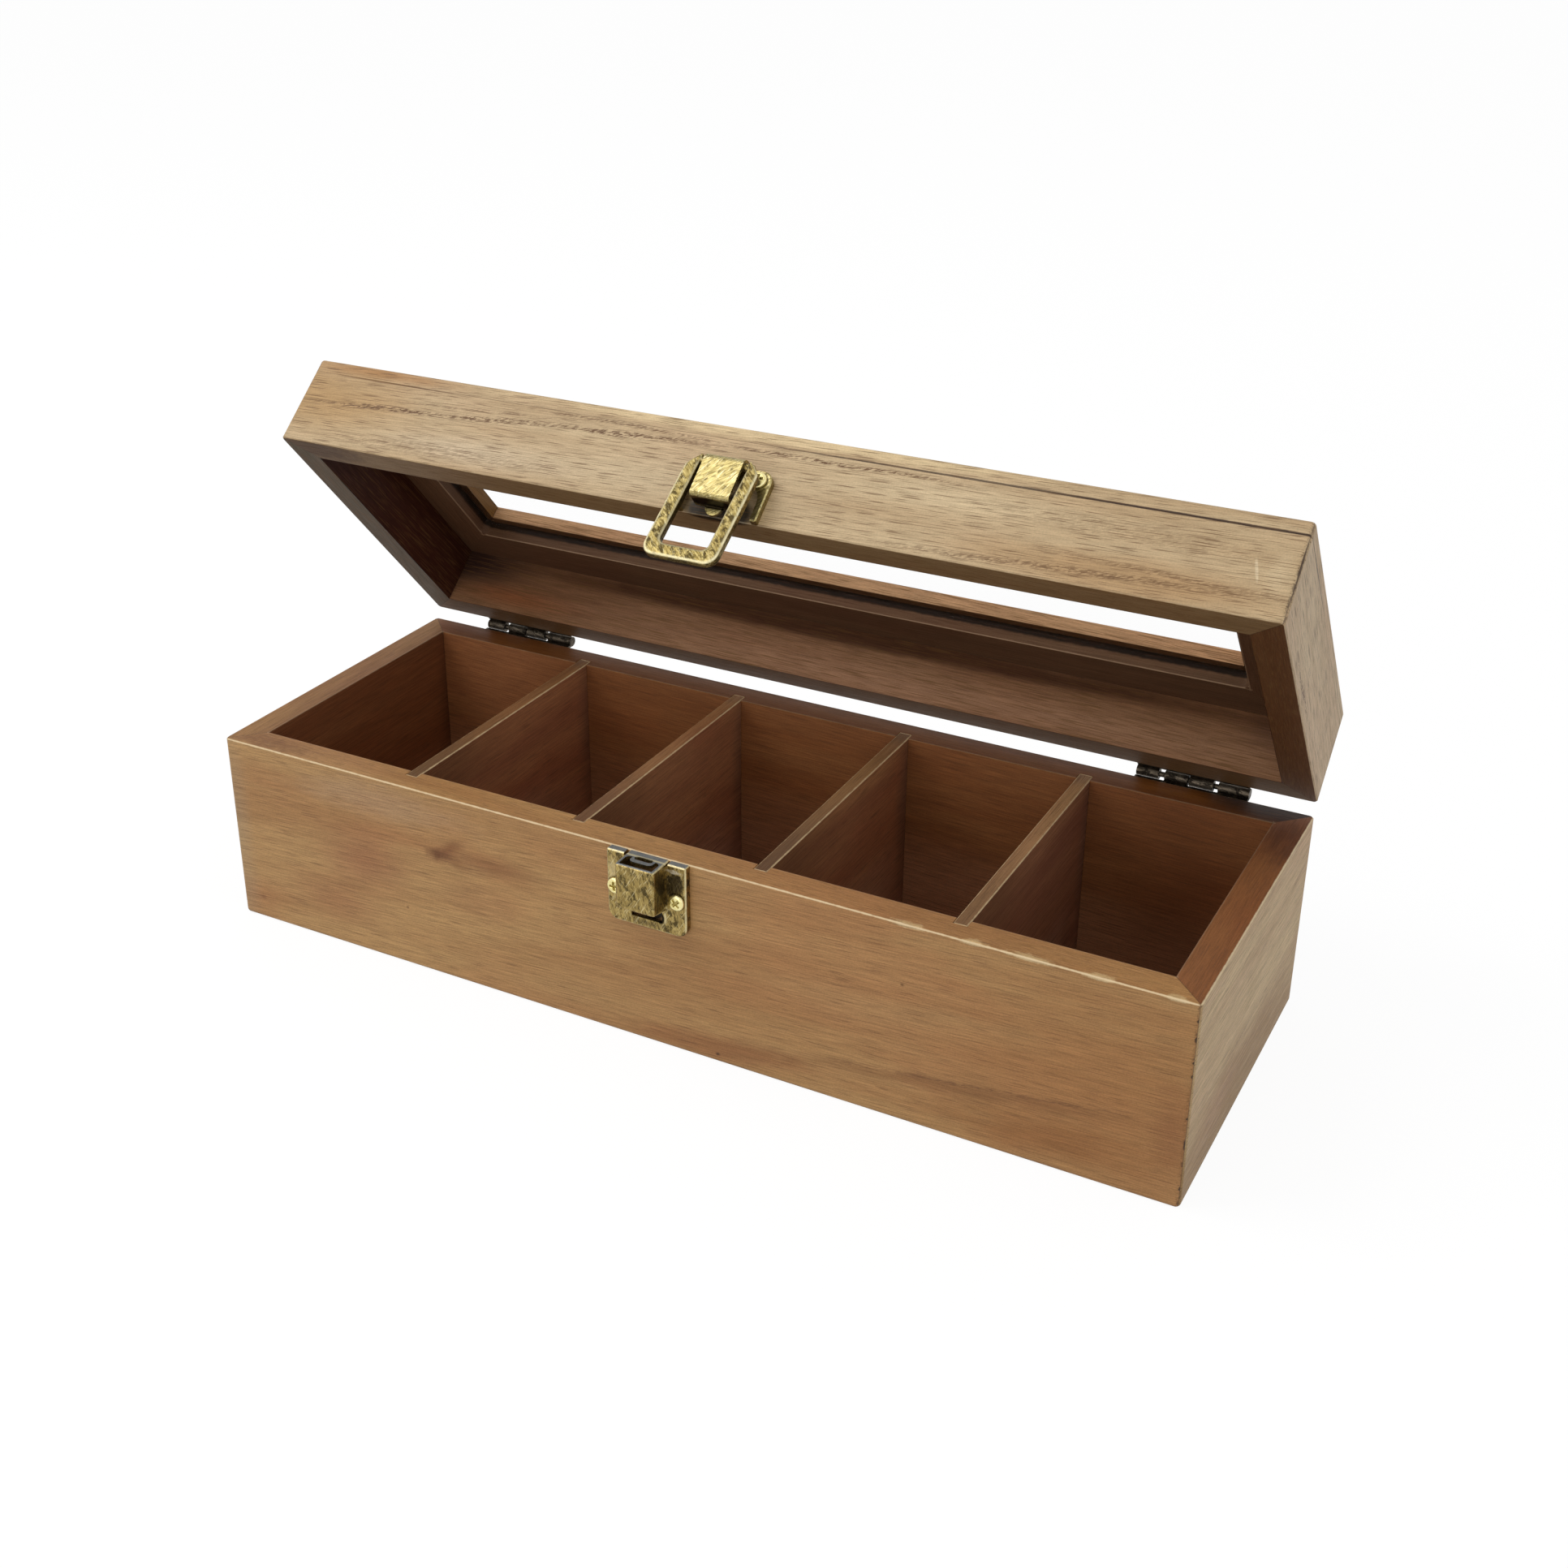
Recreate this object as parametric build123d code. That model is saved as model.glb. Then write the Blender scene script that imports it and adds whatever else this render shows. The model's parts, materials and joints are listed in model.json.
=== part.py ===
from build123d import *
import os

# Long wooden compartment box with a hinged window lid and a ring latch
# Millimetres: X along the length, front at -Y, Z up, origin at the centre of the flat underside
# The lid is drawn closed and then swung open, and the ring of the latch is swung clear of its catch

# Whole box
length = 340.0
depth = 120.0
base_height = 68.5
lid_height = 32.0
rim_gap = 0.3
wall = 10.4
overrun = 5.0

# Rounded edges of the boards
corner_round = 1.6
base_edge_round = 1.5
lid_edge_round = 1.0
rim_ease = 0.4
mitre_share = 0.5

# Floor and dividers
floor_thickness = 4.0
floor_rebate = 5.0
divider_count = 4
divider_thickness = 4.5
divider_ease = 0.3
dado_depth = 3.2
fit_clearance = 0.1

# Lid top: a thin mitred frame over a thicker backing frame whose opening pockets the pane
top_thickness = 4.8
backing_thickness = 6.0
top_end_width = 27.8
top_side_width = 31.0
pane_ledge = 3.2
pocket_round = 3.0
pane_thickness = 2.0
pane_clearance = 0.7

# Lid motion, in degrees from the closed lid and from the hanging ring
lid_rest_angle = 49.0
ring_rest_angle = 6.5

# Hinges
hinge_inset = 21.9
hinge_length = 37.5
hinge_stand_off = 4.7
hinge_sheet = 0.85
hinge_leaf_height = 14.0
hinge_leaf_round = 1.5
hinge_bend_round = 0.7
hinge_pin_radius = 0.9
pin_clearance = 0.05
knuckle_clearance = 0.3
lid_knuckle_shares = [(0, 0.2), (0.473, 0.683)]
base_knuckle_shares = [(0.253, 0.461), (0.728, 1)]
hinge_screw_inset = 7.75
hinge_screw_drop = 8.5
hinge_head_radius = 2.2
hinge_head_height = 0.9

# Screws of the latch, and the shank and cross recess that all screws share
latch_head_radius = 2.7
latch_head_height = 1.4
shank_radius = 1.1
shank_sides = 6
head_sides = 16
shank_bite = 6.0
screw_clearance = 0.05
cross_width = 0.7
cross_share = 0.55
cross_depth_share = 0.45
crown_share = 0.5

# Latch plates, stamped like shallow trays from one sheet
latch_offset = -1.7
latch_width = 28.0
latch_sheet = 1.0
tray_depth = 2.5
tray_edge = 0.4
tray_foot_round = 0.6

# Catch plate on the base, with a hollow lug that the ring drops behind
catch_height = 24.6
catch_drop = 0.2
catch_corner_round = 3.5
catch_screw_spread = 21.8
catch_screw_drop = 12.2
catch_window_width = 11.0
catch_sill = 3.2
lug_width = 13.8
lug_reach = 9.5
lug_front_height = 15.3
lug_back_height = 17.3
lug_side_round = 1.0
lug_nose_round = 0.9
lug_notch = 0.8
shelf_back = 3.3
shelf_hole_width = 11.6
shelf_hole_round = 1.5
tongue_width = 8.0
tongue_reach = 6.0
tongue_round = 1.6
slot_center = 3.45
tab_face_gap = 0.45
tab_side_gap = 0.35

# Latch plate on the lid, with a hood for the ring and a locating tab
latch_height = 17.2
latch_corner_round = 4.0
latch_screw_spread = 19.8
latch_screw_drop = 3.7
arch_width = 24.0
arch_height = 12.2
arch_round = 6.4
hood_width = 13.4
hood_root = 3.0
hood_foot = 1.6
hood_bend_round = 0.9
tab_width = 5.6
tab_reach = 1.4

# Ring of the latch and its pin
ring_stand_off = 7.45
ring_pivot_drop = 2.75
ring_width = 25.1
ring_bar = 4.5
ring_thickness = 2.8
ring_reach = 36.45
ring_pin_radius = 1.3
ring_outer_round = 4.0
ring_inner_round = 2.4
ring_ease = 0.35
shoulder_rise = 1.5
shoulder_drop = 4.4

# Places that follow from the sizes
front_y = -depth / 2
back_y = depth / 2
inner_length = length - wall - wall
inner_depth = depth - wall - wall
divider_pitch = (inner_length + divider_thickness) / (divider_count + 1)
lid_bottom = base_height + rim_gap
lid_top = lid_bottom + lid_height
top_bottom = lid_top - top_thickness
backing_bottom = top_bottom - backing_thickness
window_length = length - top_end_width - top_end_width
window_depth = depth - top_side_width - top_side_width
pocket_length = window_length + pane_ledge + pane_ledge
pocket_depth = window_depth + pane_ledge + pane_ledge
hinge_x = length / 2 - hinge_inset - hinge_length / 2
hinge_y = back_y + hinge_stand_off
hinge_z = base_height + rim_gap / 2
bore_radius = hinge_pin_radius + pin_clearance
barrel_radius = bore_radius + hinge_sheet
tray_y = front_y - tray_depth
catch_top = base_height - catch_drop
catch_bottom = catch_top - catch_height
latch_top = lid_bottom + latch_height
ring_y = front_y - ring_stand_off
ring_z = latch_top - ring_pivot_drop
ring_half_gap = ring_width / 2 - ring_bar
slot_gap = latch_sheet + tab_face_gap + tab_face_gap
slot_width = tab_width + tab_side_gap + tab_side_gap


# Block between two corners
def block(x0, x1, y0, y1, z0, z1):
    return Pos((x0 + x1) / 2, (y0 + y1) / 2, (z0 + z1) / 2) * Box(x1 - x0, y1 - y0, z1 - z0)


# Block centred on the origin in plan
def slab(size_x, size_y, z0, z1):
    return block(-size_x / 2, size_x / 2, -size_y / 2, size_y / 2, z0, z1)


# Swings a closed lid piece open about the hinge axis
def opened(shape):
    return shape.rotate(Axis((0, hinge_y, hinge_z), (-1, 0, 0)), lid_rest_angle)


# Shape cut to one of four mitred boards, whose joints run through the outer and the inner corners
def mitred(shape, side, outer_x, outer_y, inner_x, inner_y, z0, z1):
    step_x = outer_x - inner_x
    step_y = outer_y - inner_y
    far_x = outer_x + step_x
    far_y = outer_y + step_y
    near_x = inner_x - step_x * mitre_share
    near_y = inner_y - step_y * mitre_share
    plans = {
        "front": [(-far_x, -far_y), (far_x, -far_y), (near_x, -near_y), (-near_x, -near_y)],
        "back": [(far_x, far_y), (-far_x, far_y), (-near_x, near_y), (near_x, near_y)],
        "left": [(-far_x, far_y), (-far_x, -far_y), (-near_x, -near_y), (-near_x, near_y)],
        "right": [(far_x, -far_y), (far_x, far_y), (near_x, near_y), (near_x, -near_y)],
    }
    plan = Pos(0, 0, z0) * make_face(Polyline(*plans[side], close=True))
    return shape & extrude(plan, amount=z1 - z0)


# Screw with a raised cross-recess head, standing on its seat with a six-sided shank along -Z
def screw(head_radius, head_height, shank_length):
    head = extrude(RegularPolygon(head_radius, head_sides), amount=head_height)
    head = chamfer(head.faces().sort_by(Axis.Z)[-1].edges(), head_height * crown_share)
    recess_depth = head_height * cross_depth_share
    recess_length = (head_radius + head_radius) * cross_share
    for size_x, size_y in [(recess_length, cross_width), (cross_width, recess_length)]:
        head -= slab(size_x, size_y, head_height - recess_depth, head_height + overrun)
    return head + extrude(RegularPolygon(shank_radius, shank_sides), amount=-shank_length)


# Pilot hole for a shank, straight down from its mouth
def pilot(shank_length):
    mouth = RegularPolygon(shank_radius + screw_clearance, shank_sides)
    bore = extrude(mouth, amount=-shank_length - screw_clearance)
    return bore + extrude(mouth, amount=overrun)


# Places of the screws: each turns +Z out of the face that it is driven into
def front_places(spread, y, z):
    return [Pos(latch_offset + side * spread / 2, y, z) * Rot(90, 0, 0) for side in (-1, 1)]


def hinge_places(y, z):
    places = []
    for hinge_side in (-1, 1):
        for side in (-1, 1):
            x = hinge_side * hinge_x + side * (hinge_length / 2 - hinge_screw_inset)
            places.append(Pos(x, y, z) * Rot(-90, 0, 0))
    return places


catch_places = front_places(catch_screw_spread, tray_y, catch_top - catch_screw_drop)
latch_places = front_places(latch_screw_spread, tray_y, latch_top - latch_screw_drop)
base_hinge_places = hinge_places(back_y + hinge_sheet, hinge_z - barrel_radius - hinge_screw_drop)
lid_hinge_places = hinge_places(back_y + hinge_sheet, hinge_z + barrel_radius + hinge_screw_drop)
latch_shank = tray_depth + shank_bite
hinge_shank = hinge_sheet + shank_bite


# Four walls of the base with rounded arrises, dados for the dividers and a rebate for the floor
def base_frame():
    frame = slab(length, depth, 0, base_height)
    frame = fillet(frame.edges().filter_by(Axis.Z), corner_round)
    frame = fillet(frame.faces().sort_by(Axis.Z)[0].edges(), base_edge_round)
    frame = chamfer(frame.faces().sort_by(Axis.Z)[-1].edges(), rim_ease)
    frame -= slab(inner_length, inner_depth, -overrun, base_height + overrun)
    rebate_length = inner_length + floor_rebate + floor_rebate
    rebate_depth = inner_depth + floor_rebate + floor_rebate
    frame -= slab(rebate_length, rebate_depth, -overrun, floor_thickness)
    dado_width = divider_thickness + fit_clearance + fit_clearance
    dado_span = inner_depth + dado_depth + dado_depth
    for x in divider_places():
        frame -= Pos(x, 0, 0) * slab(dado_width, dado_span, floor_thickness, base_height + overrun)
    for place in catch_places:
        frame -= place * pilot(latch_shank)
    for place in base_hinge_places:
        frame -= place * pilot(hinge_shank)
    return frame


def divider_places():
    first = -divider_pitch * (divider_count - 1) / 2
    return [first + divider_pitch * index for index in range(divider_count)]


def base_board(side):
    return mitred(
        base_frame(), side, length / 2, depth / 2, inner_length / 2, inner_depth / 2, -overrun, lid_top
    )


# Thin floor panel, glued flush into the rebates
def base_floor():
    size_x = inner_length + floor_rebate + floor_rebate - fit_clearance - fit_clearance
    size_y = inner_depth + floor_rebate + floor_rebate - fit_clearance - fit_clearance
    return slab(size_x, size_y, 0, floor_thickness)


# Divider let into the dados of the front and back boards, flush with the rim
def divider():
    span = inner_depth + dado_depth + dado_depth - fit_clearance - fit_clearance
    board = slab(divider_thickness, span, floor_thickness, base_height)
    top_edges = board.faces().sort_by(Axis.Z)[-1].edges().filter_by(Axis.Y)
    return chamfer(top_edges, divider_ease)


# Four rails of the lid, under the top frame
def lid_frame():
    frame = slab(length, depth, lid_bottom, top_bottom)
    frame = fillet(frame.edges().filter_by(Axis.Z), corner_round)
    frame = chamfer(frame.faces().sort_by(Axis.Z)[0].edges(), rim_ease)
    frame -= slab(inner_length, inner_depth, -overrun, lid_top)
    for place in latch_places:
        frame -= place * pilot(latch_shank)
    for place in lid_hinge_places:
        frame -= place * pilot(hinge_shank)
    return frame


def lid_rail(side):
    return mitred(
        lid_frame(), side, length / 2, depth / 2, inner_length / 2, inner_depth / 2, -overrun, lid_top
    )


# Thin mitred strips that cover the rails and frame the window with sharp corners
def lid_top_strip(side):
    frame = slab(length, depth, top_bottom, lid_top)
    frame = fillet(frame.edges().filter_by(Axis.Z), corner_round)
    frame = fillet(frame.faces().sort_by(Axis.Z)[-1].edges(), lid_edge_round)
    frame -= slab(window_length, window_depth, 0, lid_top + overrun)
    return mitred(
        frame, side, length / 2, depth / 2, window_length / 2, window_depth / 2, 0, lid_top + overrun
    )


# Backing strips inside the rails, with a routed pocket whose corners stay round
def lid_backing_strip(side):
    size_x = inner_length - fit_clearance - fit_clearance
    size_y = inner_depth - fit_clearance - fit_clearance
    pocket = slab(pocket_length, pocket_depth, 0, lid_top)
    pocket = fillet(pocket.edges().filter_by(Axis.Z), pocket_round)
    frame = slab(size_x, size_y, backing_bottom, top_bottom) - pocket
    return mitred(frame, side, size_x / 2, size_y / 2, pocket_length / 2, pocket_depth / 2, 0, lid_top)


# Clear pane, glued into the pocket against the underside of the top strips
def window_pane():
    size_x = pocket_length - pane_clearance - pane_clearance
    size_y = pocket_depth - pane_clearance - pane_clearance
    pane = slab(size_x, size_y, top_bottom - pane_thickness, top_bottom)
    return fillet(pane.edges().filter_by(Axis.Z), pocket_round - pane_clearance)


# Hinge leaf bent from one sheet: plate, flange and two rolled knuckles. The base leaf hangs down
# and its flange runs under the barrel; the lid leaf is its mirror image about the hinge axis
def hinge_leaf(knuckle_shares, up):
    flange_inner = hinge_z + up * bore_radius
    flange_outer = hinge_z + up * barrel_radius
    leaf_end = hinge_z + up * (barrel_radius + hinge_leaf_height)
    plate_y = back_y + hinge_sheet
    flange_y = hinge_y - barrel_radius - knuckle_clearance
    outline = [
        (back_y, leaf_end),
        (back_y, flange_inner),
        (flange_y, flange_inner),
        (flange_y, flange_outer),
        (plate_y, flange_outer),
        (plate_y, leaf_end),
    ]
    section = make_face(Polyline(*outline, close=True))
    heel = section.vertices().sort_by_distance((back_y, flange_inner, 0))[0]
    section = fillet(heel, hinge_bend_round + hinge_sheet)
    throat = section.vertices().sort_by_distance((plate_y, flange_outer, 0))[0]
    section = fillet(throat, hinge_bend_round)
    leaf = extrude(Plane.YZ * section, amount=hinge_length)
    end_edges = leaf.edges().filter_by(Axis.Y).sort_by(Axis.Z)
    leaf = fillet(end_edges[-2:] if up > 0 else end_edges[:2], hinge_leaf_round)
    for start_share, end_share in knuckle_shares:
        start = hinge_length * start_share
        end = hinge_length * end_share
        leaf += block(
            start, end, plate_y, hinge_y, min(flange_inner, flange_outer), max(flange_inner, flange_outer)
        )
        barrel = Rot(0, 90, 0) * Cylinder(barrel_radius, end - start)
        leaf += Pos((start + end) / 2, hinge_y, hinge_z) * barrel
    bore = Rot(0, 90, 0) * Cylinder(bore_radius, hinge_length + overrun)
    leaf -= Pos(hinge_length / 2, hinge_y, hinge_z) * bore
    return Pos(-hinge_length / 2, 0, 0) * leaf


def hinge_pin():
    return Pos(0, hinge_y, hinge_z) * Rot(0, 90, 0) * Cylinder(hinge_pin_radius, hinge_length)


# Leaf of one hinge with its screw holes
def placed_leaf(side, knuckle_shares, up, places):
    leaf = Pos(side * hinge_x, 0, 0) * hinge_leaf(knuckle_shares, up)
    for place in places:
        leaf -= place * pilot(hinge_shank)
    return leaf


# Stamped tray against the front: outer shell with rounded corners, hollow towards the wood
def tray(z0, z1, low_round, high_round):
    x0 = latch_offset - latch_width / 2
    x1 = latch_offset + latch_width / 2
    shell = block(x0, x1, tray_y, front_y, z0, z1)
    corners = shell.edges().filter_by(Axis.Y).group_by(Axis.Z)
    shell = fillet(corners[0], low_round)
    corners = shell.edges().filter_by(Axis.Y).sort_by(Axis.Z)
    shell = fillet(corners[-2:], high_round)
    shell = chamfer(shell.faces().sort_by(Axis.Y)[0].edges(), tray_edge)
    core = block(
        x0 + latch_sheet, x1 - latch_sheet, tray_y + latch_sheet, front_y + overrun,
        z0 + latch_sheet, z1 - latch_sheet,
    )
    corners = core.edges().filter_by(Axis.Y).group_by(Axis.Z)
    if low_round > latch_sheet:
        core = fillet(corners[0], low_round - latch_sheet)
    corners = core.edges().filter_by(Axis.Y).sort_by(Axis.Z)
    if high_round > latch_sheet:
        core = fillet(corners[-2:], high_round - latch_sheet)
    return shell - core


# Side view of the lug between its back and its front, extruded across a width
def lug_body(width, front, top, front_bottom, back_bottom, back):
    outline = [(back, top), (front, top), (front, front_bottom), (back, back_bottom)]
    return Pos(latch_offset, 0, 0) * extrude(
        Plane.YZ * make_face(Polyline(*outline, close=True)), amount=width / 2, both=True
    )


# Catch plate: tray with lips, hollow lug open below, and a shelf with a rimmed slot in a D-shaped hole
def catch_plate():
    plate = tray(catch_bottom, catch_top, catch_corner_round, tray_foot_round)
    half_window = catch_window_width / 2
    plate -= block(
        latch_offset - half_window, latch_offset + half_window, tray_y - overrun, front_y + overrun,
        catch_bottom + catch_sill, catch_top - latch_sheet,
    )
    half_notch = lug_width / 2 + lug_notch
    plate -= block(
        latch_offset - half_notch, latch_offset + half_notch, tray_y - overrun, front_y + overrun,
        catch_top - latch_sheet, catch_top + overrun,
    )
    lug_y = front_y - lug_reach
    lug = lug_body(
        lug_width, lug_y, catch_top, catch_top - lug_front_height, catch_top - lug_back_height, front_y
    )
    lug = fillet(lug.edges().filter_by(Axis.Z).group_by(Axis.Y)[0], lug_side_round)
    nose = lug.edges().filter_by(Axis.X).sort_by_distance(
        (latch_offset, lug_y, catch_top - lug_front_height)
    )[0]
    lug = fillet(nose, lug_nose_round)
    brow = lug.edges().filter_by(Axis.X).sort_by_distance((latch_offset, lug_y, catch_top))[0]
    lug = chamfer(brow, tray_edge)
    lug -= lug_body(
        lug_width - latch_sheet - latch_sheet, lug_y + latch_sheet, catch_top - latch_sheet,
        catch_bottom, catch_bottom, front_y + overrun,
    )
    lug -= block(
        latch_offset - lug_width, latch_offset + lug_width, tray_y + latch_sheet, front_y,
        catch_bottom, catch_top - latch_sheet,
    )
    hole = block(
        latch_offset - shelf_hole_width / 2, latch_offset + shelf_hole_width / 2,
        lug_y + latch_sheet, front_y - shelf_back, catch_top - latch_sheet - overrun, catch_top + overrun,
    )
    hole = fillet(hole.edges().filter_by(Axis.Z).group_by(Axis.Y)[-1], shelf_hole_round)
    tongue = block(
        latch_offset - tongue_width / 2, latch_offset + tongue_width / 2,
        front_y - tongue_reach, front_y - shelf_back + latch_sheet, catch_top - latch_sheet, catch_top,
    )
    tongue = fillet(tongue.edges().filter_by(Axis.Z).group_by(Axis.Y)[0], tongue_round)
    slot = Pos(latch_offset, front_y - slot_center, catch_top) * extrude(
        SlotOverall(slot_width, slot_gap), amount=latch_sheet + overrun, both=True
    )
    plate = plate + lug - hole + tongue - slot
    for place in catch_places:
        plate -= place * pilot(latch_shank)
    return plate


# Latch plate: arched tray, with a strap folded over the pin of the ring that ends in a round tab
def latch_plate():
    plate = tray(lid_bottom, latch_top, tray_foot_round, latch_corner_round)
    arch = block(
        latch_offset - arch_width / 2, latch_offset + arch_width / 2, tray_y - overrun,
        front_y + overrun, lid_bottom - arch_height, lid_bottom + arch_height,
    )
    plate -= fillet(arch.edges().filter_by(Axis.Y).group_by(Axis.Z)[-1], arch_round)
    pin_bend = ring_pin_radius + pin_clearance + latch_sheet / 2
    root_y = tray_y + latch_sheet / 2
    crown_z = ring_z + pin_bend
    face_y = ring_y - pin_bend
    foot_z = lid_bottom + hood_foot + latch_sheet / 2
    tab_y = front_y - slot_center
    path = FilletPolyline(
        (root_y, latch_top - latch_sheet - hood_root), (root_y, crown_z), (face_y, crown_z),
        (face_y, foot_z), (tab_y, foot_z), (tab_y, lid_bottom - tab_reach),
        radius=[hood_bend_round, pin_bend, hood_bend_round, hood_bend_round],
    )
    section = Plane.YZ * trace(path, line_width=latch_sheet)
    strap = Pos(latch_offset, 0, 0) * extrude(section, amount=hood_width / 2, both=True)
    for side in (-1, 1):
        inner = latch_offset + side * tab_width / 2
        outer = latch_offset + side * hood_width
        strap -= block(
            min(inner, outer), max(inner, outer), tray_y - hood_foot, front_y,
            lid_bottom - overrun, foot_z - latch_sheet / 2,
        )
    tab_edges = strap.edges().filter_by(Axis.Y).group_by(Axis.Z)[0]
    strap = fillet(tab_edges, tab_width / 2 - pin_clearance)
    plate += strap
    for place in latch_places:
        plate -= place * pilot(latch_shank)
    return plate


# Flat ring with chamfered shoulders, hanging from a round pin on its pivot
def latch_ring():
    half = ring_width / 2
    outline = [
        (-half, -shoulder_drop),
        (-half, -ring_reach),
        (half, -ring_reach),
        (half, -shoulder_drop),
        (ring_half_gap, shoulder_rise),
        (ring_half_gap, ring_bar - ring_reach),
        (-ring_half_gap, ring_bar - ring_reach),
        (-ring_half_gap, shoulder_rise),
    ]
    face = make_face(Polyline(*outline, close=True))
    outer = [face.vertices().sort_by_distance((side * half, -ring_reach, 0))[0] for side in (-1, 1)]
    face = fillet(outer, ring_outer_round)
    inner_z = ring_bar - ring_reach
    inner = [
        face.vertices().sort_by_distance((side * ring_half_gap, inner_z, 0))[0] for side in (-1, 1)
    ]
    face = fillet(inner, ring_inner_round)
    ring = extrude(Plane.XZ * face, amount=ring_thickness / 2, both=True)
    ring = chamfer(ring.faces().sort_by(Axis.Y)[0].edges(), ring_ease)
    ring = chamfer(ring.faces().sort_by(Axis.Y)[-1].edges(), ring_ease)
    pin_length = ring_half_gap + ring_half_gap + ring_bar
    ring += Rot(0, 90, 0) * Cylinder(ring_pin_radius, pin_length)
    ring = ring.rotate(Axis((0, 0, 0), (-1, 0, 0)), ring_rest_angle)
    return Pos(latch_offset, ring_y, ring_z) * ring


# All nodes, lid pieces swung open
def nodes():
    sides = ("front", "back", "left", "right")
    hands = {"left": -1, "right": 1}
    closed = {}
    lid = {}
    for side in sides:
        closed[f"base_{side}_board"] = base_board(side)
        lid[f"lid_{side}_rail"] = lid_rail(side)
        lid[f"lid_top_{side}_strip"] = lid_top_strip(side)
        lid[f"lid_backing_{side}_strip"] = lid_backing_strip(side)
    closed["base_floor"] = base_floor()
    for index, x in enumerate(divider_places()):
        closed[f"divider_{index + 1}"] = Pos(x, 0, 0) * divider()
    for hand, side in hands.items():
        closed[f"hinge_base_leaf_{hand}"] = placed_leaf(
            side, base_knuckle_shares, -1, base_hinge_places
        )
        closed[f"hinge_pin_{hand}"] = Pos(side * hinge_x, 0, 0) * hinge_pin()
        lid[f"hinge_lid_leaf_{hand}"] = placed_leaf(
            side, lid_knuckle_shares, 1, lid_hinge_places
        )
    hinge_screw = screw(hinge_head_radius, hinge_head_height, hinge_shank)
    latch_screw = screw(latch_head_radius, latch_head_height, latch_shank)
    closed["hinge_base_screws"] = Compound([place * hinge_screw for place in base_hinge_places])
    lid["hinge_lid_screws"] = Compound([place * hinge_screw for place in lid_hinge_places])
    closed["catch_screws"] = Compound([place * latch_screw for place in catch_places])
    lid["latch_screws"] = Compound([place * latch_screw for place in latch_places])
    closed["catch_plate"] = catch_plate()
    lid["latch_plate"] = latch_plate()
    lid["window_pane"] = window_pane()
    lid["latch_ring"] = latch_ring()
    for name, shape in lid.items():
        closed[name] = opened(shape)
    return closed


os.makedirs("parts", exist_ok=True)
for name, shape in nodes().items():
    export_step(shape, f"parts/{name}.step")
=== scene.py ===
import json
import math
from collections import namedtuple

import bmesh
import bpy
import numpy as np
from mathutils import Matrix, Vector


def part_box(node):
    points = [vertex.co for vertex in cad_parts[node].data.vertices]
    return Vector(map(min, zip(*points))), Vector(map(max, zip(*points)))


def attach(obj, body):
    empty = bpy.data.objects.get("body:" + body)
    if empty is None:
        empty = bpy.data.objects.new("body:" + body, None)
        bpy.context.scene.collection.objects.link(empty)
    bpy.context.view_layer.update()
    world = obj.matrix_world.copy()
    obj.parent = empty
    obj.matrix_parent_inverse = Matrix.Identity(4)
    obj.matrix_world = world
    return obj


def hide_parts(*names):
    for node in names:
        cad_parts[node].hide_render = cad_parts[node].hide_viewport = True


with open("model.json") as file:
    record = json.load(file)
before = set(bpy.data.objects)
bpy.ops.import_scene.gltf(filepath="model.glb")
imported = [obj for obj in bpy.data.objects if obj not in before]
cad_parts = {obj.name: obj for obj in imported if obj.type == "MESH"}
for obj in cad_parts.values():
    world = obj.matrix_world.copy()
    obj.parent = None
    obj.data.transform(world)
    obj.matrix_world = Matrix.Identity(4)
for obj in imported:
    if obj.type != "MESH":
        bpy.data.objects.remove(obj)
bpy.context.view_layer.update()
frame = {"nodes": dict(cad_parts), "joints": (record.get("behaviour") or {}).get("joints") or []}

cad = frame["nodes"]
joints = {joint["name"]: joint for joint in frame["joints"]}

# BASE BOARDS
# Four mitred boards of a light close-grained hardwood, stained brown, sanded and waxed. The grain runs
# along each board, the stain has rubbed off along the top arrises, and the insides and rims are darker,
# partly from a deeper stain and partly from painted shade.

MM_PER_M = 1000
HINGE_MM = [value * MM_PER_M for value in joints["lid_hinge"]["pos_m"]]
LID_ANGLE = -math.radians(joints["lid_hinge"]["range_deg"][0])
FRONT_LOW, FRONT_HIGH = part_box("base_front_board")
LEFT_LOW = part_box("base_left_board")[0]
HALF_LENGTH = -LEFT_LOW[0] * MM_PER_M
HALF_WIDTH = -FRONT_LOW[1] * MM_PER_M
BASE_RIM = FRONT_HIGH[2] * MM_PER_M
WALL = (FRONT_HIGH[1] - FRONT_LOW[1]) * MM_PER_M
INNER_HALF = (HALF_LENGTH - WALL, HALF_WIDTH - WALL)


def linear(code):
    """Linear colour of an sRGB hex code: a channel c is ((c + 0.055) / 1.055) ** 2.4, or c / 12.92 where
    it is dark"""
    channels = np.array([int(code[i:i + 2], 16) for i in (1, 3, 5)]) / 255
    bright = ((channels + 0.055) / 1.055) ** 2.4
    return (*np.where(channels > 0.04045, bright, channels / 12.92), 1.0)


def feed(tree, node, sockets):
    """Sets or links a node's sockets by name or number"""
    for name, value in sockets.items():
        if isinstance(value, bpy.types.NodeSocket):
            tree.links.new(value, node.inputs[name])
        else:
            node.inputs[name].default_value = value


def add_node(tree, kind, settings, sockets):
    """Adds one shader node, sets its properties and feeds its sockets"""
    made = tree.nodes.new("ShaderNode" + kind)
    for name, value in settings.items():
        setattr(made, name, value)
    feed(tree, made, sockets)
    return made


def new_material(name):
    """Empty material with a Principled shader; returns the material, its tree and the shader"""
    made = bpy.data.materials.new(name)
    made.use_nodes = True
    return made, made.node_tree, made.node_tree.nodes["Principled BSDF"]


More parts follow.
